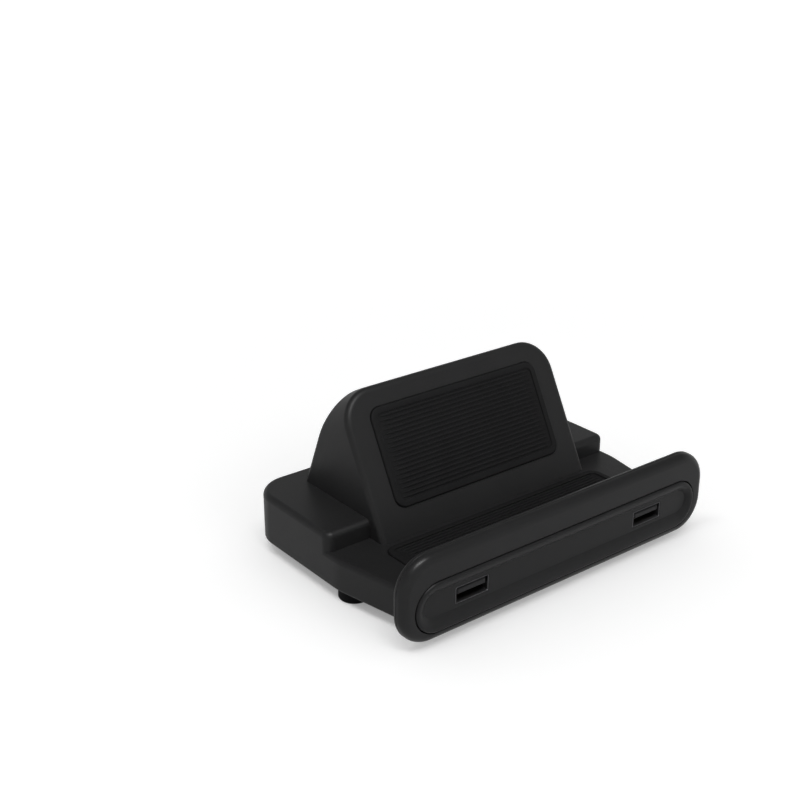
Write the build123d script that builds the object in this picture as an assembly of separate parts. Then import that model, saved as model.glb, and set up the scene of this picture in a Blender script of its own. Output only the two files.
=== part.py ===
from build123d import *
from math import cos, radians, sin, tan
import os

# Millimetres. X runs along the front bar, Z is up from the table.
# Depth is counted from the bar's front face until save() centres it on the origin.
dock_depth = 88.0
wall = 2.0
thin_wall = 1.4
fit_gap = 0.15

# Front bar: a rounded rectangle lying along X, a cover in front and a thin plate behind.
bar_overhang = 8.5
bar_rise = 14.6
bar_corner = 11.4
bar_lift = 1.8
bar_depth = 4.8
bar_round = 2.9
bar_back_round = 1.0
cover_depth = 3.2
seam_bevel = 0.2
lip_height = 0.8

# Port panel: a pill with a proud rolled bead around a recessed flat face, low in the bar.
panel_drop = 2.8
panel_inset = 12.95
opening_radius = 8.5
opening_round = 0.2
groove_width = 0.3
bead_rise = 0.5
bead_round = 0.8
crest_radius = 6.7
crest_round = 1.6
face_radius = 4.4
face_recess = 0.9
face_thickness = 1.6
flange_radius = 9.2
flange_depth = 1.1
back_pocket_radius = 6.0

# Type-A sockets in the bar.
type_a_width = 12.5
type_a_height = 5.1
type_a_metal = 0.3
type_a_length = 10.4
type_a_inset = 14.35
type_a_rise = 0.25
type_a_corner = 0.5
type_a_inner_corner = 0.25
tongue_width = 11.1
tongue_thickness = 1.84
tongue_rise = 0.05
tongue_setback = 0.2
tongue_bevel = 0.3
insulator_length = 2.0
contact_width = 1.0
contact_thickness = 0.25
contact_setback = 1.6
contact_places = (-3.5, -1.0, 1.0, 3.5)

# Body behind the bar: tray below, cradle cover above. It widens from the bar to the feet.
body_half = 57.2
flare = 4.6
flare_start = 14.0
flare_end = 38.0
flare_round = 24.0
body_bottom = 4.0
body_front_corner = 1.5
body_rear_corner = 12.0
floor_thickness = 1.8
split_height = 7.4
tray_round = 1.2
tray_lip_thickness = 1.0
tray_lip_height = 1.2
front_lip_gap = 4.0
seat_height = 15.2
seat_round = 1.6
deck_setback = 7.0
deck_height = 21.6
deck_round = 2.0
ledge_depth = 8.4
ledge_height = 19.6
ledge_round = 1.8
ledge_root = 1.0
window_inset = 8.5

# Leaning back rest on the deck.
rest_start = 36.0
rest_lean = 28.0
rest_length = 50.0
rest_half = 45.0
rest_top = 7.0
rest_rear_inset = 8.0
rest_rear_slant = 1.2
rest_base_gap = 1.0
rest_corner = 12.0
rest_round = 2.0

# Rubber pads and feet.
pad_sink = 0.6
pad_thickness = 1.4
seat_pad_inset = 10.2
seat_pad_front_gap = 2.3
seat_pad_back_gap = 2.0
rest_pad_half = 36.0
rest_pad_low = 9.0
rest_pad_high = 43.0
pad_corner = 4.0
pad_round = 0.5
foot_diameter = 10.5
foot_sink = 0.8
foot_bevel = 0.7
foot_inset = 6.65
foot_wall = 0.8
foot_rear_inset = 11.3
foot_back_gap = 1.9
foot_rear_gap = 10.0

# Screws.
screw_diameter = 2.2
screw_head_diameter = 4.4
screw_head_height = 1.5
screw_length = 6.5
screw_bevel = 0.4
drive_width = 0.6
drive_depth = 0.7
drive_share = 0.55
well_depth = 1.9
boss_diameter = 6.0
pilot_gap = 0.1
pilot_depth = 5.0
screw_inset = 9.2
screw_front_gap = 17.2
screw_rear_gap = 32.0
rest_screw_inset = 12.0
rest_screw_gap = 2.0
bar_screw_inset = 5.7
bar_screw_z = 10.3
bar_screw_head = 4.4
bar_screw_length = 3.2
spigot_diameter = 3.6
board_screw_diameter = 1.6
board_screw_head = 3.0
board_screw_head_height = 1.0
board_screw_length = 3.6

# Boards and what stands on them.
board_thickness = 1.2
board_corner = 1.5
port_board_margin = 1.5
port_board_front = 3.5
port_board_depth = 8.0
port_post_x = 22.0
port_post_y = 9.8
port_post_diameter = 3.6
main_board_height = 8.4
main_board_side_gap = 4.0
main_board_front_gap = 6.0
main_board_rear_gap = 0.45
standoff_diameter = 5.0
standoff_inset = 5.0
standoff_rear_inset = 6.4
ribbon_half = 9.0
ribbon_thickness = 0.3
plug_half = 11.5
plug_depth = 4.0
plug_height = 1.6
ribbon_lead = 6.0
slot_gap = 0.05

# Parts on the main board: across from its middle, and back from its front edge.
hub_chip_place = (-2.0, 18.0)
hub_chip_size = 9.0
video_chip_place = (12.0, 24.0)
video_chip_size = 7.0
power_chip_place = (-17.0, 24.0)
power_chip_size = 5.0
chip_height = 0.9
chip_bevel = 0.15
inductor_place = (25.5, 19.5)
inductor_size = 7.0
inductor_height = 4.0
inductor_corner = 1.5
can_inset = 11.0
can_rows = (13.0, 20.0, 27.0)
can_diameter = 5.0
can_height = 6.0
can_bevel = 0.4
crystal_place = (-12.4, 14.2)
crystal_width = 3.2
crystal_depth = 2.4
crystal_height = 0.8
crystal_corner = 0.4

# Rear sockets.
rear_setback = 0.5
rear_tongue_setback = 1.0
rear_clearance = 0.3
video_width = 15.0
video_height = 6.0
video_chamfer = 1.8
video_metal = 0.35
video_length = 11.0
video_tongue_width = 11.6
video_tongue_thickness = 1.0
type_c_width = 8.94
type_c_height = 3.26
type_c_metal = 0.3
type_c_length = 8.2
type_c_tongue_width = 6.7
type_c_tongue_thickness = 0.7
type_c_offset = 22.0

# Ribs.
rib_thickness = 1.2
seat_rib_places = (-22.0, 22.0)
seat_rib_depth = 3.0
rest_rib_places = (-22.0, 0.0, 22.0)
rest_rib_depth = 5.0
tray_rib_height = 1.5
tray_rib_places = (-24.0, 0.0, 24.0)

# Places that follow from the sizes above.
bar_half = body_half + bar_overhang
body_back_half = body_half + flare
bar_z = bar_lift + bar_rise
panel_half = bar_half - panel_inset
panel_z = bar_z - panel_drop
ledge_back = bar_depth + ledge_depth
window_half = body_half - window_inset
window_top = ledge_height - thin_wall
ledge_half = window_half + wall
deck_front = rest_start + deck_setback
rest_foot = dock_depth - rest_rear_inset
seat_pad_half = body_half - seat_pad_inset
seat_pad_front = ledge_back + seat_pad_front_gap
seat_pad_back = rest_start - seat_pad_back_gap
foot_front_y = rest_start + foot_back_gap
foot_rear_y = dock_depth - foot_rear_gap
screw_x = body_half - screw_inset
rest_screw_x = rest_half - rest_screw_inset
bar_screw_x = body_half - bar_screw_inset
port_board_half = window_half - port_board_margin
port_board_back = port_board_front + port_board_depth
main_board_half = screw_x - boss_diameter / 2 - main_board_side_gap
main_board_front = rest_start + main_board_front_gap
tray_lip_inset = wall + fit_gap
tray_inner_inset = tray_lip_inset + tray_lip_thickness
main_board_back = dock_depth - tray_inner_inset - main_board_rear_gap
standoff_x = main_board_half - standoff_inset
standoff_front_y = main_board_front + standoff_inset
standoff_rear_y = main_board_back - standoff_rear_inset
type_a_x = panel_half - type_a_inset
type_a_z = panel_z + type_a_rise
port_board_top = type_a_z - type_a_height / 2 - type_a_metal
port_board_bottom = port_board_top - board_thickness
main_board_top = main_board_height + board_thickness
seat_under = seat_height - wall
deck_under = deck_height - wall
tray_floor = body_bottom + floor_thickness
video_z = main_board_top + video_height / 2
type_c_z = main_board_top + type_c_height / 2
rear_face = dock_depth - rear_setback
front_plug_z = port_board_top + plug_height / 2
rear_plug_z = main_board_top + plug_height / 2
slope_out = (0, -cos(radians(rest_lean)), sin(radians(rest_lean)))
rest_plane = Plane(origin=(0, rest_start, seat_height), x_dir=(1, 0, 0), z_dir=slope_out)


def pairs(half, depth):
    """A left and a right place at one depth."""
    return [(-half, depth), (half, depth)]


base_screw_places = pairs(screw_x, bar_depth + screw_front_gap) + pairs(screw_x, dock_depth - screw_rear_gap)
base_screw_places = base_screw_places + pairs(rest_screw_x, rest_start + rest_screw_gap)
standoff_places = pairs(standoff_x, standoff_front_y) + pairs(standoff_x, standoff_rear_y)
front_feet = pairs(body_back_half - foot_inset, foot_front_y)
rear_feet = pairs(body_back_half - foot_rear_inset, foot_rear_y)
foot_places = front_feet + rear_feet


def save(shape, node):
    """Centres a piece's depth on the origin and writes it."""
    export_step(Pos(0, (bead_rise - dock_depth) / 2, 0) * shape, f"parts/{node}.step")


def block(x0, x1, y0, y1, z0, z1):
    """Rectangular block between two corners."""
    middle = Pos((x0 + x1) / 2, (y0 + y1) / 2, (z0 + z1) / 2)
    return middle * Box(x1 - x0, y1 - y0, z1 - z0)


def post(x, y, z0, z1, diameter):
    """Upright round post."""
    return Pos(x, y, (z0 + z1) / 2) * Cylinder(diameter / 2, z1 - z0)


def rod(x, z, y0, y1, diameter):
    """Round rod lying along the depth."""
    return Pos(x, (y0 + y1) / 2, z) * Rot(90, 0, 0) * Cylinder(diameter / 2, y1 - y0)


def forward(sketch, y0, y1, x=0.0, z=0.0):
    """Prism of an upright outline, from depth y0 to depth y1."""
    start = Plane.XZ.offset(-y0) * Pos(x, z)
    return extrude(start * sketch, amount=y0 - y1)


def slab(inset, y0, y1):
    """Upright block on the bar's outline, set in from its rim."""
    outline = RectangleRounded(2 * (bar_half - inset), 2 * (bar_rise - inset), bar_corner - inset)
    return forward(outline, y0, y1, 0, bar_z)


def pill(radius, y0, y1):
    """Pill-shaped block on the port panel's axis."""
    return forward(SlotCenterToCenter(2 * panel_half, 2 * radius), y0, y1, 0, panel_z)


def front_edges(shape):
    """Edges around the foremost face."""
    return shape.faces().sort_by(Axis.Y)[0].outer_wire().edges()


def back_edges(shape):
    """Edges around the rearmost face."""
    return shape.faces().sort_by(Axis.Y)[-1].outer_wire().edges()


def plan(y0, inset, z0, z1, front_corner):
    """Upright block on the body's plan outline, set in from the outer walls."""
    back = dock_depth - inset
    narrow = body_half - inset
    wide = narrow + flare
    side = [(wide, y0), (wide, back)]
    if y0 < flare_start:
        side = [(narrow, y0), (narrow, flare_start), (wide, flare_end), (wide, back)]
    other_side = [(-x, y) for x, y in reversed(side)]
    sheet = make_face(Polyline(side + other_side, close=True))
    if y0 < flare_start:
        sheet = fillet(sheet.vertices().group_by(Axis.Y)[1] + sheet.vertices().group_by(Axis.Y)[2], flare_round)
    sheet = fillet(sheet.vertices().group_by(Axis.Y)[0], front_corner)
    sheet = fillet(sheet.vertices().group_by(Axis.Y)[-1], body_rear_corner - inset)
    return extrude(Pos(0, 0, z0) * sheet, amount=z1 - z0)


def make_front_cover():
    """Cover with a rolled front edge and a pill-shaped opening for the port panel."""
    outer = slab(0, 0, cover_depth)
    outer = fillet(front_edges(outer), bar_round)
    cover = outer - slab(wall, wall, cover_depth)
    cover = cover - pill(opening_radius, 0, wall)
    rim = cover.faces().sort_by(Axis.Y)[0].inner_wires()[0].edges()
    cover = fillet(rim, opening_round)
    cover = cover - slab(wall / 2, cover_depth - lip_height, cover_depth)
    return chamfer(back_edges(cover), seam_bevel)


def make_bar_back_shell():
    """Rear plate of the bar with a locating lip, a long window and two screw spigots."""
    plate = slab(0, cover_depth, bar_depth)
    plate = fillet(back_edges(plate), bar_back_round)
    plate = chamfer(front_edges(plate), seam_bevel)
    lip = slab(wall / 2 + fit_gap, cover_depth - lip_height + fit_gap, cover_depth)
    lip = lip - slab(wall, cover_depth - lip_height, cover_depth)
    plate = plate + lip
    plate = plate - block(-window_half, window_half, cover_depth, bar_depth, split_height, window_top)
    for x in (-bar_screw_x, bar_screw_x):
        plate = plate + rod(x, bar_screw_z, bar_depth, bar_depth + wall - fit_gap, spigot_diameter)
        plate = plate - rod(x, bar_screw_z, cover_depth, bar_depth + wall, screw_diameter + pilot_gap)
    return plate


def make_port_panel():
    """Insert with a rolled bead that dips to a recessed flat face with the socket cut-outs."""
    insert = pill(opening_radius - groove_width, -bead_rise, wall)
    insert = insert + pill(flange_radius, wall, wall + flange_depth)
    crest = Plane.XZ.offset(bead_rise) * Pos(0, panel_z) * SlotCenterToCenter(2 * panel_half, 2 * crest_radius)
    face = Plane.XZ.offset(-face_recess) * Pos(0, panel_z) * SlotCenterToCenter(2 * panel_half, 2 * face_radius)
    dish = loft([crest, face], ruled=True)
    insert = insert - dish
    inner_edge = insert.faces().sort_by(Axis.Y)[0].inner_wires()[0].edges()
    insert = fillet(inner_edge, crest_round)
    outer_edge = insert.faces().sort_by(Axis.Y)[0].outer_wire().edges()
    insert = fillet(outer_edge, bead_round)
    insert = insert - pill(back_pocket_radius, face_recess + face_thickness, wall + flange_depth)
    for x in (-type_a_x, type_a_x):
        width = type_a_width + 2 * type_a_metal + 2 * fit_gap
        height = type_a_height + 2 * type_a_metal + 2 * fit_gap
        hole = RectangleRounded(width, height, type_a_corner + fit_gap)
        insert = insert - forward(hole, 0, wall + flange_depth, x, type_a_z)
    return insert


def make_type_a_shell(x):
    """Folded metal sleeve of a type-A socket."""
    outside = RectangleRounded(type_a_width + 2 * type_a_metal, type_a_height + 2 * type_a_metal, type_a_corner)
    inside = RectangleRounded(type_a_width, type_a_height, type_a_inner_corner)
    back = face_recess + type_a_length
    sleeve = forward(outside, face_recess, back, x, type_a_z)
    return sleeve - forward(inside, face_recess, back, x, type_a_z)


def make_type_a_tongue(x):
    """Insulator with the tongue that carries the contacts."""
    back = face_recess + type_a_length
    inside = RectangleRounded(type_a_width, type_a_height, type_a_inner_corner)
    plug = forward(inside, back - insulator_length, back, x, type_a_z)
    low = type_a_z + tongue_rise
    tongue = block(x - tongue_width / 2, x + tongue_width / 2, face_recess + tongue_setback,
                   back - insulator_length, low, low + tongue_thickness)
    tongue = chamfer(front_edges(tongue), tongue_bevel)
    return plug + tongue


def make_type_a_contacts(x):
    """Four gold strips under the tongue."""
    back = face_recess + type_a_length - insulator_length
    high = type_a_z + tongue_rise
    strips = []
    for place in contact_places:
        strip = block(x + place - contact_width / 2, x + place + contact_width / 2,
                      face_recess + contact_setback, back, high - contact_thickness, high)
        strips.append(strip)
    return Part() + strips


def rest_profile(setback):
    """Side outline of the back rest, set in from its outer faces."""
    lean = radians(rest_lean)
    shift = setback / cos(lean)
    low_z = split_height + rest_base_gap
    low_y = rest_start + shift - (seat_height - low_z) * tan(lean)
    along = rest_length - setback
    front_y = rest_start + setback * cos(lean) + along * sin(lean)
    front_z = seat_height - setback * sin(lean) + along * cos(lean)
    thick = rest_top - 2 * setback
    back_y = front_y + thick * cos(lean)
    back_z = front_z - thick * sin(lean)
    foot_y = rest_foot - rest_rear_slant * setback
    points = [(low_y, low_z), (front_y, front_z), (back_y, back_z), (foot_y, deck_height), (foot_y, low_z)]
    return make_face(Polyline(points, close=True))


def rest_block(setback):
    """The back rest as a wedge with two rounded upper corners, set in from its outer faces."""
    half = rest_half - setback
    side = Plane.YZ.offset(-half) * rest_profile(setback)
    wedge = extrude(side, amount=2 * half)
    short = [e for e in wedge.edges() if e.length < rest_top + 0.1 and e.center().Z > deck_height + rest_corner]
    return fillet(short, rest_corner - setback)


def make_rest():
    """Outer form of the back rest with softened edges."""
    rest = rest_block(0)
    rim = [e for e in rest.edges() if e.center().Z > seat_height - 2 and not is_level(e)]
    rim = rim + [e for e in rest.edges() if e.center().Z > deck_height + 10 and is_level(e)]
    rim = [e for e in rim if abs(e.center().Y - rest_foot) > 0.5]
    return fillet(rim, rest_round)


def is_level(edge):
    """True for a straight edge that runs along X."""
    return edge.geom_type == GeomType.LINE and abs(edge.tangent_at(0.5).X) > 0.99


def make_cradle_cover():
    """Upper moulding: seat behind the bar, raised deck and leaning back rest over one hollow."""
    low = plan(bar_depth, 0, split_height, seat_height, body_front_corner)
    rims = [e for e in low.faces().sort_by(Axis.Z)[-1].edges() if e.center().Y > bar_depth + 1]
    low = fillet(rims, seat_round)
    deck = plan(deck_front, 0, split_height, deck_height, body_front_corner * 2)
    deck = fillet(deck.faces().sort_by(Axis.Z)[-1].edges(), deck_round)
    ledge = block(-ledge_half, ledge_half, bar_depth, ledge_back, seat_height - ledge_root, ledge_height)
    ledge_rims = [e for e in ledge.edges() if e.center().Z > seat_height and e.center().Y > bar_depth + 0.5]
    ledge = fillet(ledge_rims, ledge_round)
    cover = low + deck + make_rest() + ledge
    inner_front = bar_depth + wall
    hollow = plan(inner_front, wall, split_height, seat_under, body_front_corner)
    hollow = hollow + plan(deck_front + wall, wall, split_height, deck_under, body_front_corner)
    hollow = hollow + rest_block(wall)
    window = block(-window_half, window_half, bar_depth, ledge_back - thin_wall, split_height, window_top)
    cover = cover - hollow - window
    return finish_cradle(cover)


def finish_cradle(cover):
    """Adds bosses, ribs, pad recesses and the rear cut-outs to the upper moulding."""
    for x, y in base_screw_places:
        roof = seat_under if y < deck_front else deck_under
        cover = cover + post(x, y, split_height, roof, boss_diameter)
        cover = cover - post(x, y, split_height, split_height + pilot_depth, screw_diameter + pilot_gap)
    for x in (-bar_screw_x, bar_screw_x):
        cover = cover - rod(x, bar_screw_z, bar_depth, bar_depth + wall, spigot_diameter + 2 * fit_gap)
    for x in seat_rib_places:
        cover = cover + block(x - rib_thickness / 2, x + rib_thickness / 2, ledge_back, rest_start,
                              seat_under - seat_rib_depth, seat_under)
    cover = cover + make_rest_ribs()
    cover = cover - seat_pad_form(0) - rest_pad_form(0)
    cover = cover - forward(video_outline(rear_clearance), dock_depth - wall, dock_depth, 0, video_z)
    for x in (-type_c_offset, type_c_offset):
        cover = cover - forward(type_c_outline(rear_clearance), dock_depth - wall, dock_depth, x, type_c_z)
    return cover


def make_rest_ribs():
    """Upright ribs behind the back rest's face."""
    inner = rest_block(wall)
    band = Plane.YZ.offset(-rest_half) * make_face(Polyline(rib_band_points(), close=True))
    band = extrude(band, amount=2 * rest_half)
    ribs = []
    for x in rest_rib_places:
        sheet = block(x - rib_thickness / 2, x + rib_thickness / 2, 0, dock_depth, deck_height, 2 * rest_length)
        ribs.append(inner & band & sheet)
    return ribs[0] + ribs[1] + ribs[2]


def rib_band_points():
    """Strip behind the back rest's front face that the ribs fill."""
    lean = radians(rest_lean)
    rise = 2 * rest_length
    reach = (wall + rest_rib_depth) / cos(lean)
    top_y = rest_start + rise * tan(lean)
    return [(rest_start, seat_height), (top_y, seat_height + rise), (top_y + reach, seat_height + rise),
            (rest_start + reach, seat_height)]


def seat_pad_form(shrink):
    """Body of the seat pad, from its recess floor up."""
    width = 2 * (seat_pad_half - shrink)
    depth = seat_pad_back - seat_pad_front - 2 * shrink
    sheet = Pos(0, (seat_pad_front + seat_pad_back) / 2) * RectangleRounded(width, depth, pad_corner)
    return extrude(Pos(0, 0, seat_height - pad_sink) * sheet, amount=pad_thickness)


def rest_pad_form(shrink):
    """Body of the back rest pad, from its recess floor out."""
    width = 2 * (rest_pad_half - shrink)
    height = rest_pad_high - rest_pad_low - 2 * shrink
    sheet = Pos(0, (rest_pad_low + rest_pad_high) / 2) * RectangleRounded(width, height, pad_corner)
    return extrude(rest_plane.offset(-pad_sink) * sheet, amount=pad_thickness)


def make_seat_pad():
    """Rubber pad on the seat."""
    pad = seat_pad_form(fit_gap)
    return fillet(pad.faces().sort_by(Axis.Z)[-1].edges(), pad_round)


def make_rest_pad():
    """Rubber pad on the leaning face."""
    pad = rest_pad_form(fit_gap)
    outward = Axis((0, 0, 0), slope_out)
    return fillet(pad.faces().sort_by(outward)[-1].edges(), pad_round)


def video_outline(grow):
    """Outline of the video socket: a rectangle with its lower corners cut."""
    half = video_width / 2 + grow
    top = video_height / 2 + grow
    cut = video_chamfer + grow / 2
    points = [(-half, top), (half, top), (half, -top + cut), (half - cut, -top), (-half + cut, -top),
              (-half, -top + cut)]
    return make_face(Polyline(points, close=True))


def type_c_outline(grow):
    """Outline of a type-C socket."""
    return SlotOverall(type_c_width + 2 * grow, type_c_height + 2 * grow)


def make_video_shell():
    """Metal sleeve of the video socket."""
    front = rear_face - video_length
    sleeve = forward(video_outline(0), front, rear_face, 0, video_z)
    return sleeve - forward(video_outline(-video_metal), front, rear_face, 0, video_z)


def make_video_tongue():
    """Insulator and tongue of the video socket."""
    front = rear_face - video_length
    plug = forward(video_outline(-video_metal), front, front + insulator_length, 0, video_z)
    tongue = block(-video_tongue_width / 2, video_tongue_width / 2, front + insulator_length,
                   rear_face - rear_tongue_setback, video_z - video_tongue_thickness / 2,
                   video_z + video_tongue_thickness / 2)
    return plug + tongue


def make_type_c_shell(x):
    """Metal sleeve of a type-C socket."""
    front = rear_face - type_c_length
    sleeve = forward(type_c_outline(0), front, rear_face, x, type_c_z)
    return sleeve - forward(type_c_outline(-type_c_metal), front, rear_face, x, type_c_z)


def make_type_c_tongue(x):
    """Insulator and tongue of a type-C socket."""
    front = rear_face - type_c_length
    plug = forward(type_c_outline(-type_c_metal), front, front + insulator_length, x, type_c_z)
    tongue = block(x - type_c_tongue_width / 2, x + type_c_tongue_width / 2, front + insulator_length,
                   rear_face - rear_tongue_setback, type_c_z - type_c_tongue_thickness / 2,
                   type_c_z + type_c_tongue_thickness / 2)
    return plug + tongue


def make_base_tray():
    """Lower moulding with a locating lip, screw wells, standoffs, ribs and foot recesses."""
    tray = plan(bar_depth, 0, body_bottom, split_height, body_front_corner)
    tray = fillet(tray.faces().sort_by(Axis.Z)[0].edges(), tray_round)
    lip_top = split_height + tray_lip_height
    lip = plan(bar_depth + tray_lip_inset, tray_lip_inset, split_height, lip_top, body_front_corner)
    room = plan(bar_depth + tray_inner_inset, tray_inner_inset, tray_floor, lip_top, body_front_corner)
    tray = tray + lip - room
    for x in tray_rib_places:
        tray = tray + block(x - rib_thickness / 2, x + rib_thickness / 2, bar_depth + tray_inner_inset,
                            dock_depth - tray_inner_inset, tray_floor, tray_floor + tray_rib_height)
    tray = tray - block(-body_half, body_half, bar_depth + wall, bar_depth + front_lip_gap, split_height, lip_top)
    for x in (-port_post_x, port_post_x):
        tray = tray + post(x, port_post_y, tray_floor, port_board_bottom, port_post_diameter)
        tray = tray - post(x, port_post_y, tray_floor, port_board_bottom, board_screw_diameter + pilot_gap)
    for x, y in base_screw_places:
        tray = tray + post(x, y, tray_floor, split_height, boss_diameter + wall)
        tray = tray - post(x, y, body_bottom, body_bottom + well_depth, screw_head_diameter + 2 * fit_gap)
        tray = tray - post(x, y, body_bottom, split_height, screw_diameter + fit_gap)
    for x, y in standoff_places:
        tray = tray + post(x, y, tray_floor, main_board_height, standoff_diameter)
        tray = tray - post(x, y, tray_floor, main_board_height, board_screw_diameter + pilot_gap)
    for x, y in foot_places:
        tray = tray + post(x, y, tray_floor, tray_floor + foot_sink, foot_diameter + 2 * foot_wall)
        tray = tray - post(x, y, body_bottom, body_bottom + foot_sink, foot_diameter + fit_gap)
    return tray


def make_foot(x, y):
    """Round rubber foot with a bevelled lower edge."""
    foot = post(x, y, 0, body_bottom + foot_sink, foot_diameter)
    return chamfer(foot.faces().sort_by(Axis.Z)[0].edges(), foot_bevel)


def screw(diameter, length, head, head_height):
    """Pan-head screw with a cross drive, its shank up from the head's seat at the origin."""
    cap = Pos(0, 0, -head_height / 2) * Cylinder(head / 2, head_height)
    cap = chamfer(cap.faces().sort_by(Axis.Z)[0].edges(), screw_bevel)
    for angle in (0, 90):
        slot = Rot(0, 0, angle) * Box(head * drive_share, drive_width, 2 * drive_depth)
        cap = cap - Pos(0, 0, -head_height) * slot
    shank = Pos(0, 0, length / 2) * Cylinder(diameter / 2, length)
    return cap + shank


def make_base_screws():
    """Screws from the tray up into the cover."""
    one = screw(screw_diameter, screw_length, screw_head_diameter, screw_head_height)
    places = [Pos(x, y, body_bottom + well_depth) * one for x, y in base_screw_places]
    return Part() + places


def make_bar_screws():
    """Screws from inside the body forward into the bar's spigots."""
    one = screw(screw_diameter, bar_screw_length, bar_screw_head, screw_head_height)
    places = [Pos(x, bar_depth + wall, bar_screw_z) * Rot(90, 0, 0) * one for x in (-bar_screw_x, bar_screw_x)]
    return Part() + places


def make_board_screws():
    """Small screws that hold both boards."""
    one = screw(board_screw_diameter, board_screw_length, board_screw_head, board_screw_head_height)
    down = Rot(180, 0, 0) * one
    places = [Pos(x, y, main_board_top) * down for x, y in standoff_places]
    places = places + [Pos(x, port_post_y, port_board_top) * down for x in (-port_post_x, port_post_x)]
    return Part() + places


def make_port_board():
    """Narrow board under the type-A sockets."""
    board = block(-port_board_half, port_board_half, port_board_front, port_board_back, port_board_bottom,
                  port_board_top)
    board = fillet(board.edges().filter_by(Axis.Z), board_corner)
    for x in (-port_post_x, port_post_x):
        board = board - post(x, port_post_y, port_board_bottom, port_board_top, board_screw_diameter + fit_gap)
    return board


def make_main_board():
    """Board under the deck that carries the rear sockets."""
    board = block(-main_board_half, main_board_half, main_board_front, main_board_back, main_board_height,
                  main_board_top)
    board = fillet(board.edges().filter_by(Axis.Z), board_corner)
    for x, y in standoff_places:
        board = board - post(x, y, main_board_height, main_board_top, board_screw_diameter + fit_gap)
    return board


def make_ribbon():
    """Flat cable from the port board to the main board."""
    start = (port_board_back - plug_depth / 2, front_plug_z)
    bend = (port_board_back + ribbon_lead, front_plug_z)
    level = (main_board_front - ribbon_lead, rear_plug_z)
    end = (main_board_front + plug_depth / 2, rear_plug_z)
    run = Polyline([start, bend, level, end])
    strip = make_face(offset(run, amount=ribbon_thickness / 2, kind=Kind.INTERSECTION))
    return extrude(Plane.YZ.offset(-ribbon_half) * strip, amount=2 * ribbon_half)


def make_ribbon_plug(y0, z):
    """Flat connector with a slot for the ribbon, around height z."""
    plug = block(-plug_half, plug_half, y0, y0 + plug_depth, z - plug_height / 2, z + plug_height / 2)
    low = z - ribbon_thickness / 2 - slot_gap
    high = z + ribbon_thickness / 2 + slot_gap
    return plug - block(-ribbon_half - fit_gap, ribbon_half + fit_gap, y0, y0 + plug_depth, low, high)


def on_board(place, width, depth, height):
    """Block that stands on the main board."""
    x = place[0]
    y = main_board_front + place[1]
    return block(x - width / 2, x + width / 2, y - depth / 2, y + depth / 2, main_board_top, main_board_top + height)


def make_chip(place, size):
    """Square package with bevelled upper edges."""
    body = on_board(place, size, size, chip_height)
    return chamfer(body.faces().sort_by(Axis.Z)[-1].edges(), chip_bevel)


def make_inductor():
    """Shielded power inductor."""
    body = on_board(inductor_place, inductor_size, inductor_size, inductor_height)
    return fillet(body.edges().filter_by(Axis.Z), inductor_corner)


def make_capacitors():
    """Round can capacitors beside the power input."""
    cans = []
    for row in can_rows:
        can = post(can_inset - main_board_half, main_board_front + row, main_board_top, main_board_top + can_height,
                   can_diameter)
        cans.append(chamfer(can.faces().sort_by(Axis.Z)[-1].edges(), can_bevel))
    return Part() + cans


def make_crystal():
    """Crystal can beside the hub chip."""
    body = on_board(crystal_place, crystal_width, crystal_depth, crystal_height)
    return fillet(body.edges().filter_by(Axis.Z), crystal_corner)


def main():
    """Builds and writes every piece."""
    os.makedirs("parts", exist_ok=True)
    save(make_front_cover(), "front_cover")
    save(make_port_panel(), "port_panel")
    save(make_bar_back_shell(), "bar_back_shell")
    save(make_cradle_cover(), "cradle_cover")
    save(make_base_tray(), "base_tray")
    save(make_seat_pad(), "seat_pad")
    save(make_rest_pad(), "rest_pad")
    for name, x in (("left", -type_a_x), ("right", type_a_x)):
        save(make_type_a_shell(x), f"type_a_shell_{name}")
        save(make_type_a_tongue(x), f"type_a_tongue_{name}")
        save(make_type_a_contacts(x), f"type_a_contacts_{name}")
    for name, place in zip(("front_left", "front_right", "rear_left", "rear_right"), foot_places):
        save(make_foot(*place), f"foot_{name}")
    save(make_base_screws(), "base_screws")
    save(make_bar_screws(), "bar_screws")
    save(make_board_screws(), "board_screws")
    save(make_port_board(), "port_board")
    save(make_main_board(), "main_board")
    save(make_ribbon(), "ribbon")
    save(make_ribbon_plug(port_board_back - plug_depth, front_plug_z), "ribbon_plug_front")
    save(make_ribbon_plug(main_board_front, rear_plug_z), "ribbon_plug_rear")
    save(make_video_shell(), "video_shell")
    save(make_video_tongue(), "video_tongue")
    for name, x in (("link", type_c_offset), ("power", -type_c_offset)):
        save(make_type_c_shell(x), f"type_c_shell_{name}")
        save(make_type_c_tongue(x), f"type_c_tongue_{name}")
    save(make_chip(hub_chip_place, hub_chip_size), "hub_chip")
    save(make_chip(video_chip_place, video_chip_size), "video_chip")
    save(make_chip(power_chip_place, power_chip_size), "power_chip")
    save(make_inductor(), "inductor")
    save(make_capacitors(), "capacitors")
    save(make_crystal(), "crystal")


main()
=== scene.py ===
"""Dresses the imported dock: front bar, port panel, cradle, grip mats, sockets, feet and screws."""
import logging
from dataclasses import dataclass, field, replace
from enum import Enum
from math import cos, pi, radians, sin
from typing import Any, Iterable, Sequence

import bmesh
import bpy
from bmesh.types import BMEdge, BMesh, BMVert
from bpy.types import Material, Node, NodeSocket, NodeTree, Object
from mathutils import Matrix, Vector


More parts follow.
